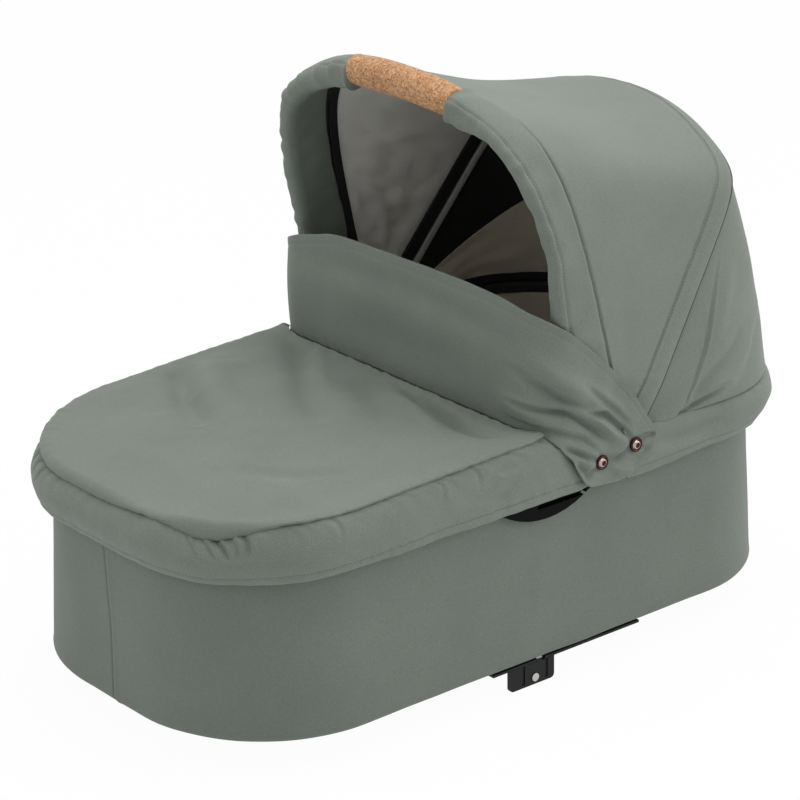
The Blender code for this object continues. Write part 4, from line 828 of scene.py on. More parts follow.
def skirt_grid(columns, rows):
    """The skirt's outer face, from its seam to its hem."""
    grid = []
    for share in np.linspace(0.0, 1.0, rows):
        end_x = float(np.interp(share, *SKIRT_END))
        path, _ = end_path(-1, end_x, columns)
        at_foot = smooth((path[:, 0] - DROOP_FROM_X) / (DROOP_FULL_X - DROOP_FROM_X))
        tuck = 0.0036 * fading(share, 0.045)
        belly = 0.0022 * np.sin(pi * share)
        out = mix(SEAM_OUT, HEM_OUT, share) + at_foot * SKIRT_PUFF * np.sin(pi * share) + belly - tuck
        out -= 0.0012 * fading(1 - share, 0.04)
        out -= 0.0030 * smooth((path[:, 0] - end_x + 0.014) / 0.014)
        out -= 0.0090 * max(0.0, 1.0 - share / 0.22) * smooth((path[:, 0] - end_x + 0.022) / 0.022)
        top = seam_height(path[:, 0]) - droop(path[:, 0], path[:, 1]) - 0.0042
        corner = bell(foot_turn(path[:, 0], path[:, 1]) - 0.80, 0.30)
        grid.append(off_plan(path, out, mix(top, HEM_Z - 0.0035 * corner, share)))
    return np.array(grid)


def make_skirt():
    """Band that hangs from the apron's seam, gathered at the foot's corners, with a stitched hem."""
    columns = steps(900)
    rows = steps(48)
    points = skirt_grid(columns, rows)
    share = np.broadcast_to(np.linspace(0.0, 1.0, rows)[:, None], points.shape[:2])
    marks = np.broadcast_to(end_path(-1, 0.03, columns)[1][None, :], points.shape[:2])
    drop = share * SKIRT_DROP
    lift = seam_pucker(marks, drop, 5.0)
    for place, lean, size in SKIRT_GATHERS:
        line = [(place, -0.004), (place + lean * 0.014, 0.014), (place + lean * 0.026, 0.026)]
        lift += fold(marks, drop, line, 0.0026, -0.0026 * size, 0.0012 * size)
    for row in SKIRT_FOLDS:
        lift += fold(marks, drop, *row)
    lift += 0.0011 * ripple(marks, drop, 0.055, 2.0) + 0.0005 * ripple(marks, drop * 0.8, 0.018, 7.0)
    lift -= 0.0007 * bell(drop - SKIRT_STITCH, 0.0012)
    lift += 0.0005 * smooth((drop - SKIRT_STITCH) / 0.002)
    lift += 0.0005 * ripple(marks, drop, 0.008, 5.0) * bell(drop - SKIRT_STITCH, 0.006)
    points = lifted(points, lift, (-0.1, 0, 0.1))
    made = cloth("skirt", points, LOOKS["sage"], centre=(-0.1, 0, 0.2))
    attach(made, "basket")
    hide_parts("apron_skirt")
    row = int(round(SKIRT_STITCH / SKIRT_DROP * (rows - 1)))
    out = facing(points, normals(points), (-0.1, 0, 0.1))[row]
    thread = stitches("skirt_stitches", points[row] + out * THREAD_LIFT, out, LOOKS["thread"])
    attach(thread, "basket")


# Wind flap

def flap_plan(chart):
    """Plan of the near half: chart is x along the side, then runs on round the corner."""
    corner_x = FLAP_FRONT_X + FLAP_CORNER
    turned = np.clip((corner_x - chart) / FLAP_CORNER, 0.0, 0.5 * pi)
    beyond = np.maximum(corner_x - chart - FLAP_CORNER * 0.5 * pi, 0.0)
    x = np.where(chart >= corner_x, chart, corner_x - FLAP_CORNER * np.sin(turned))
    inner = FLAP_SIDE_Y - FLAP_CORNER
    y = -(inner + FLAP_CORNER * np.cos(turned)) + beyond
    return x, y


def wing_folds(a, z, seed, start):
    """Gathers of a wing, which run from the flap's corner to the press studs, from start on."""
    total = sum(fold(a, z, *row) for row in WING_FOLDS)
    for x, height in STUDS:
        away = np.hypot(a - x, z - height)
        total -= 0.0016 * bell(away, 0.0105)
    total += 0.0011 * ripple(a, z, 0.030, seed) * smooth((a + 0.02) / 0.06)
    return 1.5 * total * smooth((a - start) / 0.05)


def flap_half(chart, rows, top, seed, start):
    """One half of the flap, mapped as the near half, from its lower to its upper edge."""
    top_line = rounded(top, 200)
    low_line = rounded(FLAP_LOW, 200)
    high = np.interp(chart, top_line[:, 0], top_line[:, 1])
    low = np.interp(chart, low_line[:, 0], low_line[:, 1])
    share = np.linspace(0.0, 1.0, rows)[:, None]
    a = np.broadcast_to(chart[None, :], (rows, len(chart)))
    z = mix(low[None, :], high[None, :], share)
    x, y = flap_plan(a)
    points = np.stack([x, y, z], axis=-1)
    front = 1.0 - smooth((a + 0.035) / 0.07)
    lift = 0.0050 * front * np.sin(pi * share) + wing_folds(a, z, seed, start)
    lift += front * 0.0011 * ripple(a, z, 0.075, seed + 1.0) * smooth((-0.04 - a) / 0.08)
    for row in PANEL_FOLDS:
        lift += front * fold(a, z, *row)
    near_low = bell(z - low[None, :], 0.010) * front
    lift -= 0.0018 * near_low
    lift += near_low * 0.0007 * ripple(a, z * 0.3, 0.014, seed + 3.0)
    lift += 0.0024 * bell(z - low[None, :], 0.006) * (1.0 - front)
    edge = high[None, :] - z
    lift += 0.0006 * bell(edge, 0.006) - 0.0004 * bell(edge - 0.011, 0.0018)
    points = lifted(points, lift, (0.06, 0.0, 0.30))
    return points


def make_flap():
    """Panel in front of the hood's opening, its ends gathered back to the press studs."""
    half = steps(330)
    rows = steps(96)
    end = FLAP_FRONT_X + FLAP_CORNER * (1 - 0.5 * pi) - (FLAP_SIDE_Y - FLAP_CORNER)
    on_side = int(half * 0.55)
    across = np.linspace(0.0, end, half - on_side + 1)[1:]
    chart = np.concatenate([np.linspace(FLAP_END_X, 0.0, on_side), across])
    near = flap_half(chart, rows, FLAP_TOP, 11.0, -0.06)
    far = flap_half(chart, rows, FLAP_TOP_FAR, 31.0, 0.01)
    far[..., 1] *= -1.0
    share = smooth((chart - end) / 0.05)[None, :, None]
    middle = 0.5 * (near[:, -1:] + far[:, -1:])
    near = mix(middle + (near - near[:, -1:]), near, share)
    far = mix(middle + (far - far[:, -1:]), far, share)
    points = np.concatenate([near, far[:, ::-1][:, 1:]], axis=1)
    made = cloth("wind_flap_cloth", points, LOOKS["sage"], centre=(0.08, 0.0, 0.30), thick=FLAP_THICK)
    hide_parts("wind_flap", "flap_wing_near", "flap_wing_far")
    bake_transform(made)


def make_studs():
    """Copper press studs: a rim with a rolled edge, a dished ring and a domed middle."""
    line = np.array(STUD_PROFILE) * np.array([STUD_GROW, 1.0])
    # The dome's slope gets the pale copper as a painted highlight. The rest keeps the dark copper: the
    # rim's own colour, and painted shade on the centre.
    highlight_rows_from = 8
    highlight_rows_until = 11
    sides = 40
    turns = np.linspace(0.0, 2 * pi, sides, endpoint=False)
    for label, side in (("near", -1.0), ("far", 1.0)):
        for number, (x, z) in enumerate(STUDS, start=1):
            rings = []
            for radius, out in line:
                size = max(radius, 1e-5)
                y = np.full(sides, side * (STUD_SEAT_Y + 0.0012 + out))
                rings.append(np.stack([x + size * np.cos(turns), y, z + size * np.sin(turns)], axis=1))
            made = tube("press_stud_%s_%d" % (label, number), np.array(rings), LOOKS["copper_dark"])
            made.data.materials.append(LOOKS["copper"])
            for index, face in enumerate(made.data.polygons):
                face.material_index = 1 if highlight_rows_from * sides <= index < highlight_rows_until * sides else 0
            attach(made, "basket")
            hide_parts("stud_cap_%s_%d" % (label, number))


# Hood arches

HOOD_POINTS = steps(HOOD_STEPS)


def crown(angle, reach):
    """The top of a bow, in the part's frame."""
    turn = radians(angle)
    return (PIVOT[0] + reach * sin(turn), 0.0, PIVOT[1] + reach * cos(turn))


class Arch:
    """A bow's curve in a plane that leans by an angle about the hood's pivot line."""

    def __init__(self, angle, reach, half_width, shape, shift=0.0):
        turn = radians(angle)
        self.reach = reach
        self.half_width = half_width
        self.drop, self.corner, self.lean = shape
        self.out = np.array([sin(turn), 0.0, cos(turn)])
        self.across = np.array([cos(turn), 0.0, -sin(turn)])
        self.base = np.array([PIVOT[0], 0.0, PIVOT[1]]) + self.across * shift

    def flat(self, turn):
        """(y, distance from the pivot line) where rays at these angles meet the curve."""
        across = np.abs(np.cos(turn))
        up = np.sin(turn)
        side = (across + self.lean * up) / (self.half_width + self.lean * LEG_UPRIGHT)
        bend = self.drop * (across / self.half_width) ** 2
        top = 2.0 * self.reach / (up + np.sqrt(up * up + 4.0 * bend * self.reach))
        size = (side ** self.corner + top ** -self.corner) ** (-1.0 / self.corner)
        return np.stack([-np.cos(turn) * size, up * size], axis=-1)

    def lift(self, flat):
        """Flat points in space."""
        flat = np.asarray(flat)
        return self.base + flat[..., 1:] * self.out + flat[..., :1] * np.array([0.0, 1.0, 0.0])

    def flat_curve(self, foot):
        """Flat points from foot to foot."""
        straight = max(4, HOOD_POINTS // 12)
        near = [(-self.half_width, r) for r in np.linspace(foot, LEG_UPRIGHT, straight)]
        turns = np.linspace(ARCH_START, pi - ARCH_START, HOOD_POINTS)
        far = [(-y, r) for y, r in reversed(near)]
        return np.concatenate([near, self.flat(turns), far])

    def curve(self, height):
        """Points from foot to foot, with both feet at one height."""
        foot = (height - self.base[2]) / self.out[2]
        return self.lift(self.flat_curve(foot))


def spanned(first, second, shares):
    """Cloth pulled straight between two curves."""
    return np.array([mix(first, second, share) for share in shares])


def frames(path):
    """Unit normals of a flat path, pointing outwards."""
    run = np.gradient(path, axis=0)
    run /= np.linalg.norm(run, axis=1, keepdims=True)
    return np.stack([-run[:, 1], run[:, 0]], axis=1)


def panel_arch(shift, thick=0.0025):
    """The hood fabric's curve over the middle bow."""
    reach = MIDDLE_REACH + 0.0008 + thick
    return Arch(MIDDLE_ANGLE, reach, HOOD_SIDE_Y - HOOD_NARROWING - 0.0025 + thick, MIDDLE_SHAPE, shift)


def make_front_panel():
    """Hood between the front sleeve and the middle bow, with the channel that the bow runs in."""
    seam = Arch(SEAM_ANGLE, SEAM_REACH, HOOD_SIDE_Y, FRONT_SHAPE, SEAM_SHIFT + 0.0004)
    first = seam.curve(PANEL_FOOT_Z)
    second = panel_arch(-CHANNEL_HALF).curve(PANEL_FOOT_Z)
    shares = np.linspace(0.0, 1.0, steps(70))
    points = spanned(first, second, shares)
    flatness = np.clip(1.0 - (points[..., 1] / HOOD_SIDE_Y) ** 2, 0.0, 1.0)
    points[..., 2] -= HOOD_SAG * np.sin(pi * shares)[:, None] * flatness
    points[..., 2] -= 0.0085 * bell(shares, 0.16)[:, None] * flatness ** 2
    channel = [panel_arch(shift).curve(PANEL_FOOT_Z)
               for shift in np.linspace(-CHANNEL_HALF, CHANNEL_HALF, steps(20))[1:]]
    tucked = [panel_arch(CHANNEL_HALF + 0.0004, 0.0025 - depth).curve(PANEL_FOOT_Z)
              for depth in (0.0020, 0.0040, 0.0060)]
    under = [Arch(SEAM_ANGLE, SEAM_REACH - depth, HOOD_SIDE_Y - depth, FRONT_SHAPE, SEAM_SHIFT - ahead)
             .curve(PANEL_FOOT_Z) for ahead, depth in ((0.006, 0.0050), (0.002, 0.0025))]
    rows = len(under) + len(shares)
    points = np.concatenate([under, points, channel, tucked])
    on_channel = PANEL_WIDTH + np.linspace(0.0, 2 * CHANNEL_HALF, len(channel) + 1)[1:]
    turned_in = PANEL_WIDTH + 2 * CHANNEL_HALF + np.array([0.0015, 0.003, 0.0045])
    place = np.concatenate([np.zeros(len(under)), shares * PANEL_WIDTH, on_channel, turned_in])
    away = np.broadcast_to(place[:, None], points.shape[:2])
    around = round_grid(points, rows // 2)
    lift = -0.0019 * bell(away - PANEL_WIDTH, 0.0016)
    lift += 0.0006 * bell(away - 0.2535, 0.004)
    lift += 0.0036 * smooth((away - PANEL_WIDTH) / (1.5 * CHANNEL_HALF))
    lift -= 0.0010 * bell(away, 0.0022)
    lift += 0.0009 * ripple(around, away, 0.11, 21.0) * np.sin(pi * np.clip(away / PANEL_WIDTH, 0, 1))
    lift += 0.0004 * ripple(around, away * 0.3, 0.014, 22.0) * bell(away - PANEL_WIDTH, 0.010)
    lift += 0.0004 * ripple(around, away * 0.3, 0.012, 23.0) * bell(away, 0.008)
    lift[-len(tucked):] = 0.0
    points = lifted(points, lift, HOOD_MIDDLE)
    made = cloth("hood_panel_front", points, LOOKS["sage"], centre=HOOD_MIDDLE)
    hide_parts("hood_front_panel")
    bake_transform(made)
    out = facing(points, normals(points), HOOD_MIDDLE)[rows + 1]
    thread = stitches("channel_stitches", points[rows + 1] + out * THREAD_LIFT, out, LOOKS["thread"])
    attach(thread, "hood_middle")


def band_puff(share):
    """Bulge of the hem band at the head end, from its top seam to its hem."""
    return np.interp(share, [0.0, 0.25, 0.5, 0.8, 1.0], [0.008, 0.0115, 0.0125, 0.0080, 0.001])


def back_path(line):
    """Points of the plan round the head end, spaced as those of a line over the hood."""
    path, _ = end_path(1, BACK_START_X, len(line))
    marks = along(line) / along(line)[-1]
    evenly = np.linspace(0, 1, len(path))
    return np.stack([np.interp(marks, evenly, path[:, k]) for k in range(4)], axis=1)


def head_line(path, out, puff, height):
    """Points round the head end, bulging by puff beyond the shoulders."""
    share = smooth((path[:, 0] - 0.23) / 0.13)
    return off_plan(path, out + puff * share, height)


def ring_of(across, up, radius, sides):
    """Points of a small circle."""
    turns = np.linspace(0.0, 2 * pi, sides, endpoint=False)
    return [(across + radius * cos(turn), up + radius * sin(turn)) for turn in turns]


def make_rear_panel():
    """Back of the hood, from under the channel's edge down to the hem band."""
    first = panel_arch(CHANNEL_HALF - 0.004, -0.0050).curve(PANEL_FOOT_Z)
    into_slot = ((0.0012, -0.0050), (0.0030, -0.0042), (0.0036, -0.0020), (0.0042, 0.0006))
    slot = [panel_arch(CHANNEL_HALF + shift, thick).curve(PANEL_FOOT_Z) for shift, thick in into_slot]
    second = panel_arch(CHANNEL_HALF + 0.0055, 0.0020).curve(PANEL_FOOT_Z)
    path = back_path(first)
    hem = head_line(path, BAND_OUT - 0.0010, 0.009, BAND_TOP_Z + 0.0015)
    shares = np.linspace(0.0, 1.0, steps(150))
    points = np.concatenate([[first], slot, spanned(second, hem, shares)])
    share = np.concatenate([np.zeros(1 + len(slot)), shares])[:, None] * np.ones((1, points.shape[1]))
    side = points[..., 1]
    belly = 0.0065 * np.sin(pi * share) * smooth((points[..., 0] - 0.17) / 0.06)
    x, z = points[..., 0], points[..., 2]
    lift = belly + 0.0016 * ripple(x, z + 3.0 * (side > 0), 0.06, 14.0) * np.sin(pi * share)
    near_part = smooth((-side - 0.06) / 0.06)
    for line, width, depth, lean in REAR_FOLDS:
        lift += (near_part + smooth((side - 0.06) / 0.06)) * fold(x, z, line, width, depth, lean)
    lift -= 0.0045 * bell(1 - share, 0.012)
    points = lifted(points, lift, HOOD_MIDDLE)
    made = cloth("hood_panel_rear", points, LOOKS["sage"], centre=HOOD_MIDDLE)
    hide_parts("hood_rear_panel")
    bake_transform(made)
    # A dark cord laid in the slot behind the channel's edge: painted shade for the shadow in that gap.
    gap_shade_cord = np.array([panel_arch(CHANNEL_HALF + shift, thick).curve(PANEL_FOOT_Z)
                     for shift, thick in ring_of(0.0034, 0.0034, 0.0014, 8)])
    painted_gap_shade = tube("hood_painted_gap_shade", np.swapaxes(gap_shade_cord, 0, 1), LOOKS["painted_gap_shade"])
    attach(painted_gap_shade, "hood_middle")


def make_band():
    """Padded hem band of the hood, round the head end."""
    columns = steps(420)
    rows = steps(40)
    grid = []
    path, marks = end_path(1, BAND_START_X, columns)
    for share in np.linspace(0.0, 1.0, rows):
        tuck = 0.0044 * fading(share, 0.05) - 0.0012 * fading(1 - share, 0.10)
        belly = 0.0020 * sin(pi * share)
        z = mix(BAND_TOP_Z + 0.003, BAND_LOW_Z, share)
        lower = 0.006 * smooth((path[:, 0] - 0.16) / 0.10) * share
        grid.append(head_line(path, BAND_OUT - tuck + belly, band_puff(share), z + lower))
    points = np.array(grid)
    share = np.linspace(0.0, 1.0, rows)[:, None] * np.ones((1, columns))
    around = np.broadcast_to(marks, points.shape[:2])
    down = share * BAND_DROP
    lift = 0.0014 * ripple(around, down, 0.05, 17.0) * np.sin(pi * share)
    at_edges = fading(share, 0.2) + fading(1 - share, 0.2)
    lift += 0.0007 * ripple(around, down * 0.3, 0.015, 18.0) * at_edges
    for start in (0.03, marks[-1] - 0.03):
        way = 1.0 if start < 0.1 else -1.0
        upper = [(start, 0.020), (start + way * 0.05, 0.026), (start + way * 0.12, 0.024)]
        lower = [(start, 0.034), (start + way * 0.06, 0.042), (start + way * 0.15, 0.040)]
        lift += fold(around, down, upper, 0.006, -0.0022, 0.001)
        lift += fold(around, down, lower, 0.007, 0.0018)
    lift -= 0.0006 * bell(down - BAND_STITCH, 0.0012)
    points = lifted(points, lift, BAND_MIDDLE)
    made = cloth("hood_band", points, LOOKS["sage"], centre=BAND_MIDDLE)
    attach(made, "basket")
    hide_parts("hood_hem_band")
    row = int(BAND_STITCH / BAND_DROP * (rows - 1))
    out = facing(points, normals(points), BAND_MIDDLE)[row]
    thread = stitches("band_stitches", points[row] + out * THREAD_LIFT, out, LOOKS["thread"])
    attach(thread, "basket")


# Front sleeve and grip

def sleeve_section(away, share, pinch):
    """Outline of the padded sleeve round the bow.

    share is 0 at its foot and 1 at the grip; pinch is 1 where it bends tight.
    """
    padded = float(smooth(share / 0.22))
    widen = float(smooth(share / 0.25)) - 1.9 * pinch * float(smooth((share - 0.28) / 0.22))
    narrow = float(smooth((share - 0.6) / 0.4))
    slant = pinch * float(smooth((share - 0.20) / 0.25)) * (1.0 - float(smooth((share - 0.80) / 0.15)))
    depth = mix(0.0039, 0.018, padded)
    outside = mix(0.0080, 0.0095, share) + 0.0070 * float(smooth((share - 0.80) / 0.18))
    front = -mix(mix(0.030, 0.036, widen), 0.021, narrow)
    swell = 0.005 * slant
    rear = SEAM_SHIFT + away * sin(radians(SEAM_ANGLE - FRONT_ANGLE)) - 0.0004
    inner_rear = max(mix(rear, 0.026, padded), rear)
    fall = 1.0 - 0.55 * float(smooth((share - 0.72) / 0.2))
    return np.array([
        (rear, 0.1 * outside),
        (rear - 0.0005, 0.6 * fall * outside),
        (rear - 0.003, fall * outside),
        (rear - 0.010, mix(fall, 1.0, 0.5) * outside),
        (front + 0.016, outside + 0.5 * swell),
        (front + 0.006, 0.75 * outside + swell),
        (front + 0.001, 0.1 * outside + swell),
        (front, -0.35 * depth * (1.0 - slant)),
        (front + 0.002, -0.75 * depth * (1.0 - 0.9 * slant)),
        (front + 0.009, -depth * (1.0 - 0.75 * slant)),
        (front + 0.018, -depth * (1.0 - 0.5 * slant)),
        (inner_rear - 0.010, -depth),
        (inner_rear - 0.001, -0.8 * depth),
        (inner_rear - 0.0005, -0.4 * depth),
    ])


def closed_round(section, count):
    """A smooth closed outline through few corner points, starting at the first."""
    line = section
    for _ in range(2):
        following = np.roll(line, -1, axis=0)
        cuts = [0.75 * line + 0.25 * following, 0.25 * line + 0.75 * following]
        line = np.stack(cuts, axis=1).reshape(-1, 2)
    line = np.concatenate([line, line[:1]])
    return resample(line, count + 1)[:-1]


def sweep(arch, path, sections):
    """Rings of outlines of (across, outwards) points along a flat path."""
    out = frames(path)
    rings = []
    for point, normal, section in zip(path, out, sections):
        flat = point + normal * section[:, 1:]
        rings.append(arch.lift(flat) + section[:, :1] * arch.across)
    return np.array(rings)


def turn_at_y(arch, y):
    """The ray that meets the near half of the arch so far from the middle."""
    low, high = ARCH_START, 0.5 * pi
    for _ in range(40):
        middle = 0.5 * (low + high)
        if -arch.flat(np.array([middle]))[0, 0] > y:
            low = middle
        else:
            high = middle
    return low


def make_sleeves():
    """Padded sleeves of the front bow, with a stitched inner edge and a collar at the grip."""
    arch = Arch(FRONT_ANGLE, FRONT_REACH, FRONT_BOW_Y, FRONT_SHAPE)
    rows = steps(220)
    leg = np.array([(-arch.half_width, r) for r in np.linspace(0.086, 0.0905, 3)])
    start = float(np.arctan2(0.0925, arch.half_width))
    count = steps(96)
    for label, side in (("near", -1.0), ("far", 1.0)):
        end = turn_at_y(arch, GRIP_HALF_LENGTH + side * GRIP_SHIFT - 0.001)
        path = np.concatenate([leg, arch.flat(np.linspace(start, end, 400))])
        path = resample(path, rows)
        marks = along(path)
        sections = []
        for k in range(rows):
            share = marks[k] / marks[-1]
            outline = closed_round(sleeve_section(path[k, 1], share, 1.0 if side < 0 else 0.0), count)
            collar = bell(marks[-1] - marks[k], 0.004)
            neck = bell(marks[-1] - marks[k] - 0.009, 0.003)
            outline = outline * (1.0 + 0.03 * collar - 0.04 * neck)
            sections.append(outline)
        rings = sweep(arch, path, sections)
        seed = 41.0 if side < 0 else 57.0
        closed = np.concatenate([rings, rings[:, :1]], axis=1)
        out = facing_tube(closed)[:, :-1]
        around = np.broadcast_to(np.linspace(0.0, SLEEVE_GIRTH, count, endpoint=False), rings.shape[:2])
        run = np.broadcast_to(marks[:, None], rings.shape[:2])
        lift = 0.0010 * ripple(run, around, 0.045, seed)
        lift += 0.0009 * ripple(run, around * 0.6, 0.018, seed + 1)
        inner = bell(around - 0.056, 0.014)
        lift += 0.0018 * inner * ripple(run, around * 0.3, 0.013, seed + 2)
        lift -= 0.0014 * bell(around - SLEEVE_STITCH, 0.0020) * smooth(run / 0.05)
        lift *= smooth(np.minimum(around, SLEEVE_GIRTH - around) / 0.012)
        rings = rings + out * lift[..., None]
        if side > 0:
            rings = rings * np.array([1.0, -1.0, 1.0])
            out = out * np.array([1.0, -1.0, 1.0])
        made = tube("sleeve_" + label, rings, LOOKS["sage"])
        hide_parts("front_sleeve_" + label)
        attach(made, "hood_front")
        column = int(SLEEVE_STITCH / SLEEVE_GIRTH * count)
        sewn = slice(4, -6)
        thread = stitches("sleeve_stitches_" + label, rings[sewn, column], out[sewn, column],
                          LOOKS["thread"])
        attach(thread, "hood_front")


def facing_tube(rings):
    """Outward normals of a tube's grid."""
    direction = normals(rings)
    centre = rings.mean(axis=1, keepdims=True)
    return direction if float(np.sum(direction * (rings - centre))) > 0 else -direction


def make_grip():
    """Cork grip: a smooth rounded bar that follows the bow."""
    arch = Arch(FRONT_ANGLE, FRONT_REACH, FRONT_BOW_Y, FRONT_SHAPE)
    start = turn_at_y(arch, GRIP_HALF_LENGTH - GRIP_SHIFT)
    end = turn_at_y(arch, GRIP_HALF_LENGTH + GRIP_SHIFT)
    path = resample(arch.flat(np.linspace(start, pi - end, 300)), steps(90))
    turns = np.linspace(0.0, 2 * pi, GRIP_POINTS, endpoint=False)
    sections = []
    for k in range(len(path)):
        place = 2.0 * k / (len(path) - 1) - 1.0
        radius = (GRIP_RADIUS + 0.0010) * (1.0 - 0.10 * abs(place) ** 4)
        sections.append(np.stack([radius * np.cos(turns), radius * np.sin(turns) + 0.0015], axis=1))
    made = tube("cork_bar", sweep(arch, path, sections), LOOKS["cork"])
    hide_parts("cork_grip")
    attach(made, "hood_front")


# Inside of the hood and the basket

def lining_arch(shift, depth=0.0):
    """The lining's curve inside the middle bow."""
    return Arch(MIDDLE_ANGLE, MIDDLE_REACH - 0.0028 - depth, 0.2240 - depth, MIDDLE_SHAPE, shift)


def make_front_lining():
    """Pale lining between the front sleeve and the middle bow, slightly slack."""
    seam = Arch(SEAM_ANGLE, FRONT_REACH - 0.012, LINING_Y, FRONT_SHAPE, 0.0265)
    shares = np.linspace(0.0, 1.0, steps(60))
    bow = lining_arch(-0.004)
    points = spanned(seam.curve(LINING_FOOT_Z), bow.curve(LINING_FOOT_Z), shares)
    flatness = np.clip(1.0 - (points[..., 1] / LINING_Y) ** 2, 0.0, 1.0)
    points[..., 2] -= HOOD_SAG * np.sin(pi * shares)[:, None] * flatness
    inside = np.sin(pi * shares)[:, None]
    around = round_grid(points, len(shares) // 2)
    away = np.broadcast_to(shares[:, None] * 0.24, points.shape[:2])
    held = smooth(inside * 1.4)
    lift = -0.0022 * inside + 0.0034 * held * ripple(around, away, 0.05, 61.0)
    lift += 0.0018 * held * ripple(around, away * 0.4, 0.018, 62.0)
    for place, depth in LINING_CREASES:
        line = [(place, 0.01), (place + 0.03, 0.10), (place + 0.02, 0.22)]
        lift += held * fold(around, away, line, 0.010, depth)
    points = lifted(points, lift, HOOD_MIDDLE)
    made = cloth("lining_front", points, LOOKS["lining"], thick=LINING_THICK, centre=HOOD_MIDDLE)
    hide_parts("hood_front_lining")
    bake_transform(made)


def arch_strip(name, rows, look, held_by):
    """A tape that follows a bow, from a list of arches."""
    points = np.array([arch.curve(LINING_FOOT_Z) for arch in rows])
    made = cloth(name, points, look, thick=LINING_THICK, centre=HOOD_MIDDLE)
    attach(made, held_by)
    return made


def make_tapes():
    """Black and grey tapes over the seams inside the hood."""
    rows = [lining_arch(shift, 0.0034) for shift in np.linspace(-0.011, 0.007, 5)]
    black = arch_strip("bow_tape", rows, LOOKS["tape"], "hood_middle")
    rows = [lining_arch(shift, 0.0046) for shift in np.linspace(0.009, 0.018, 4)]
    grey = arch_strip("bow_tape_grey", rows, LOOKS["grey_tape"], "hood_middle")
    rows = [Arch(SEAM_ANGLE, FRONT_REACH - 0.0165, 0.2205, FRONT_SHAPE, shift)
            for shift in np.linspace(0.020, 0.032, 5)]
    front = arch_strip("sleeve_tape", rows, LOOKS["tape"], "hood_front")


def rear_lining_grid(first_share, last_share, rows):
    """Part of the lining behind the middle bow."""
    first = lining_arch(0.004).curve(LINING_FOOT_Z)
    path = back_path(first)
    rest = off_plan(path, -0.0013, RIM_TOP + 0.0010)
    return spanned(first, rest, np.linspace(first_share, last_share, rows))


def make_rear_lining():
    """Vent mesh behind the bow, and the taupe lining below it with a black hem."""
    points = rear_lining_grid(0.0, 0.52, steps(34))
    mesh = cloth("vent_mesh_cloth", points, LOOKS["mesh"], thick=0.0010, centre=HOOD_MIDDLE)
    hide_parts("vent_mesh")
    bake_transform(mesh)
    points = rear_lining_grid(0.50, 1.0, steps(50))
    share = np.linspace(0.0, 1.0, points.shape[0])[:, None] * np.ones((1, points.shape[1]))
    around = round_grid(points, len(points) // 2)
    inside = np.sin(pi * share)
    lift = -0.0030 * inside + 0.0026 * ripple(around, share * 0.2, 0.045, 71.0) * inside
    lift -= 0.0024 * fading(share, 0.12)
    fine = ripple(around, share * 0.03, 0.012, 72.0)
    lift += 0.0010 * fine * fading(share, 0.15) * smooth(share / 0.12)
    points = lifted(points, lift, HOOD_MIDDLE)
    made = cloth("lining_rear", points, LOOKS["taupe"], thick=LINING_THICK, centre=HOOD_MIDDLE)
    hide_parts("hood_rear_lining")
    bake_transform(made)
    path, _ = end_path(1, 0.150, steps(300))
    heights = np.linspace(0.2665, 0.2555, 5)
    rows = np.array([off_plan(path, -0.0052 - 0.0002 * k, z) for k, z in enumerate(heights)])
    hem = cloth("lining_hem", rows, LOOKS["tape"], thick=LINING_THICK, centre=(0.15, 0.0, 0.265))
    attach(hem, "basket")


def make_wall_lining():
    """Quilted lining of the basket wall, gathered at its upper edge."""
    path = loop_path(steps(520))
    around = along(path[:, :2])
    rows = []
    inside = -0.0078
    quilt_size = 0.055
    top = 0.2412
    for height in np.linspace(0.0065, top, steps(60)):
        rising = np.abs(np.sin(pi * (around / quilt_size + height / quilt_size)))
        falling = np.abs(np.sin(pi * (around / quilt_size - height / quilt_size)))
        quilt = 0.0020 * rising * falling
        flare = 0.004 * max(0.0, 1 - height / FLARE_TOP)
        pleats = np.sin(around * 2 * pi / 0.0115 + 2 * np.sin(around * 30))
        gather = 0.0012 * pleats * bell(top - height, 0.022)
        rows.append(off_plan(path, inside + flare - quilt - gather, height))
    made = cloth("quilted_lining", np.array(rows), LOOKS["taupe"], thick=0.0014, closed=True)
    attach(made, "basket")
    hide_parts("wall_lining")


def make_mattress():
    """Mattress with rounded sides and a quilted top."""
    path = loop_path(steps(480))
    low, high = 0.0066, 0.0415
    edge = -0.0160
    profile = [(edge - 0.012, low), (edge - 0.004, low + 0.0015), (edge - 0.0005, low + 0.006),
               (edge, low + 0.011), (edge - 0.0022, 0.5 * (low + high)), (edge, high - 0.011),
               (edge - 0.0012, high - 0.005), (edge - 0.005, high - 0.001), (edge - 0.011, high + 0.0012)]
    profile = rounded(profile, steps(40), 2)
    rows = [off_plan(path, grow, z) for grow, z in profile]
    rim = rows[-1]
    target = np.stack([np.clip(path[:, 0], -0.2, 0.2), np.zeros(len(path))], axis=1)
    for inward in np.linspace(0.0, 1.0, steps(60))[1:]:
        x = mix(rim[:, 0], target[:, 0], inward)
        y = mix(rim[:, 1], target[:, 1], inward)
        tufts = np.abs(np.sin(pi * (x + y) / 0.075)) * np.abs(np.sin(pi * (x - y) / 0.075))
        z = high + 0.0012 + 0.0045 * smooth(inward * 2) + 0.0022 * tufts * smooth(inward * 8)
        rows.append(np.stack([x, y, z], axis=1))
    points = np.array(rows)
    centre = [np.array([[x, y, low] for x, y in target])]
    points = np.concatenate([centre, points])
    rows, columns = points.shape[:2]
    faces = grid_faces(rows, columns, True)
    made = add_mesh("mattress_pad", points.reshape(-1, 3), faces, LOOKS["ticking"], metric_uv(points))
    weld = made.modifiers.new("weld", "WELD")
    weld.merge_threshold = WELD_REACH
    if made.data.polygons[-1].normal.z < 0:
        made.data.flip_normals()
    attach(made, "basket")
    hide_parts("mattress")


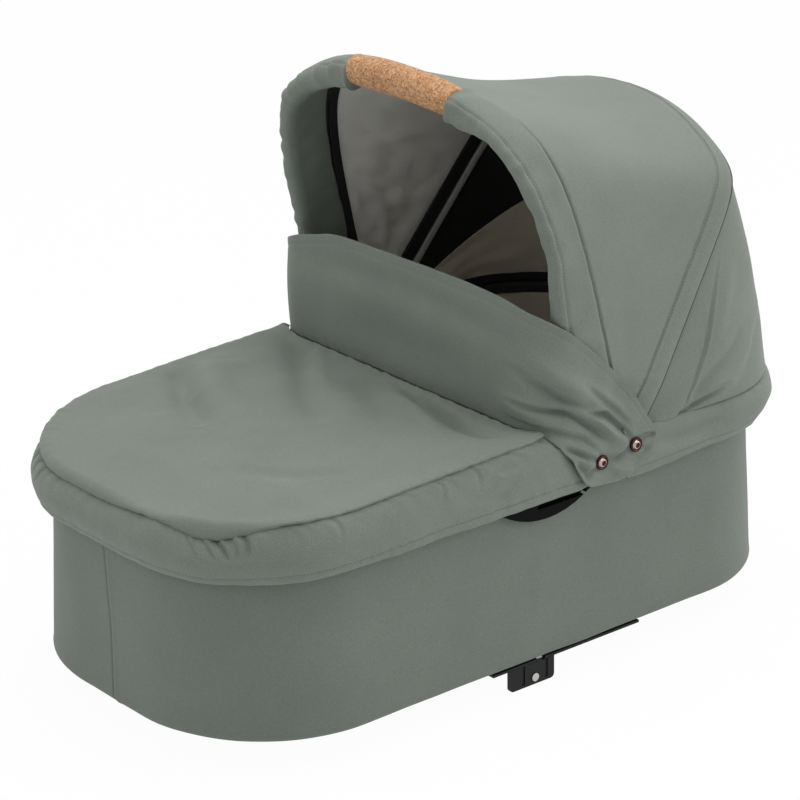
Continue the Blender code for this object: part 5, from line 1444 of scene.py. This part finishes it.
def paint_nodes(nodes):
    """Give each CAD piece that shows its material."""
    for name, node in nodes.items():
        for start, look in NODE_LOOKS.items():
            if name.startswith(start):
                node.data.materials.clear()
                node.data.materials.append(LOOKS[look])


# Stage

def seen_share(tree, rays):
    """1 for what the camera, a reflection or clear plastic looks at, else 0."""
    total = rays.outputs["Is Camera Ray"]
    for kind in ("Is Glossy Ray", "Is Transmission Ray"):
        join = tree.nodes.new("ShaderNodeMath")
        join.operation = "MAXIMUM"
        tree.links.new(total, join.inputs[0])
        tree.links.new(rays.outputs[kind], join.inputs[1])
        total = join.outputs[0]
    return total


def make_stage():
    """Pale floor, white surroundings, soft lights and the photo's camera."""
    scene = bpy.context.scene
    world = bpy.data.worlds.new("studio")
    world.use_nodes = True
    tree = world.node_tree
    lit = tree.nodes["Background"]
    lit.inputs["Color"].default_value = (0.97, 0.985, 1.0, 1.0)
    lit.inputs["Strength"].default_value = WORLD_LIGHT
    seen = tree.nodes.new("ShaderNodeBackground")
    seen.inputs["Color"].default_value = WHITE
    rays = tree.nodes.new("ShaderNodeLightPath")
    choose = tree.nodes.new("ShaderNodeMixShader")
    tree.links.new(seen_share(tree, rays), choose.inputs["Fac"])
    tree.links.new(lit.outputs["Background"], choose.inputs[1])
    tree.links.new(seen.outputs["Background"], choose.inputs[2])
    tree.links.new(choose.outputs["Shader"], tree.nodes["World Output"].inputs["Surface"])
    scene.world = world

    floor_mesh = bpy.data.meshes.new("floor")
    corners = [(x * FLOOR_HALF, y * FLOOR_HALF, 0) for x, y in ((-1, -1), (1, -1), (1, 1), (-1, 1))]
    floor_mesh.from_pydata(corners, [], [(0, 1, 2, 3)])
    floor = bpy.data.objects.new("floor", floor_mesh)
    floor.location = (0.0, 0.0, FLOOR_Z)
    look, floor_tree, shader = new_look("floor_look", 0.9)
    shader.inputs["Base Color"].default_value = (0.9, 0.9, 0.9, 1.0)
    glow = floor_tree.nodes.new("ShaderNodeEmission")
    glow.inputs["Color"].default_value = WHITE
    share = floor_tree.nodes.new("ShaderNodeMath")
    share.operation = "MULTIPLY"
    share.inputs[1].default_value = FLOOR_WHITE
    floor_rays = floor_tree.nodes.new("ShaderNodeLightPath")
    floor_mix = floor_tree.nodes.new("ShaderNodeMixShader")
    floor_tree.links.new(seen_share(floor_tree, floor_rays), share.inputs[0])
    floor_tree.links.new(share.outputs[0], floor_mix.inputs["Fac"])
    floor_tree.links.new(shader.outputs["BSDF"], floor_mix.inputs[1])
    floor_tree.links.new(glow.outputs["Emission"], floor_mix.inputs[2])
    surface = floor_tree.nodes["Material Output"].inputs["Surface"]
    floor_tree.links.new(floor_mix.outputs["Shader"], surface)
    floor_mesh.materials.append(look)
    scene.collection.objects.link(floor)

    for name, place, aim, width, power in LIGHTS:
        light = bpy.data.lights.new(name, "AREA")
        light.shape = "SQUARE"
        light.size = width
        light.energy = power
        made = bpy.data.objects.new(name, light)
        made.location = place
        made.rotation_euler = (Vector(aim) - Vector(place)).to_track_quat("-Z", "Y").to_euler()
        scene.collection.objects.link(made)

    turn = radians(CAMERA_TURN)
    rise = radians(CAMERA_LIFT)
    roll = radians(CAMERA_ROLL)
    back = Vector((sin(turn) * cos(rise), -cos(turn) * cos(rise), sin(rise)))
    right = (-back).cross(Vector((0, 0, 1))).normalized()
    up = right.cross(-back)
    right_rolled = right * cos(roll) + up * sin(roll)
    up_rolled = up * cos(roll) - right * sin(roll)
    camera = bpy.data.objects.new("photo_camera", bpy.data.cameras.new("photo_camera"))
    camera.data.lens = CAMERA_LENS
    camera.data.sensor_width = 36.0
    camera.data.clip_end = 50.0
    turned = Matrix((right_rolled, up_rolled, back)).transposed().to_4x4()
    camera.matrix_world = Matrix.Translation(CAMERA_PLACE) @ turned
    scene.collection.objects.link(camera)
    scene.camera = camera
    scene.view_settings.view_transform = "Standard"


def main():
    """Build every piece on the frame."""
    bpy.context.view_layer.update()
    paint_nodes(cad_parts)
    make_cover()
    make_apron()
    make_skirt()
    make_flap()
    make_studs()
    make_front_panel()
    make_rear_panel()
    make_band()
    make_sleeves()
    make_grip()
    make_front_lining()
    make_tapes()
    make_rear_lining()
    make_wall_lining()
    make_mattress()
    make_stage()


main()
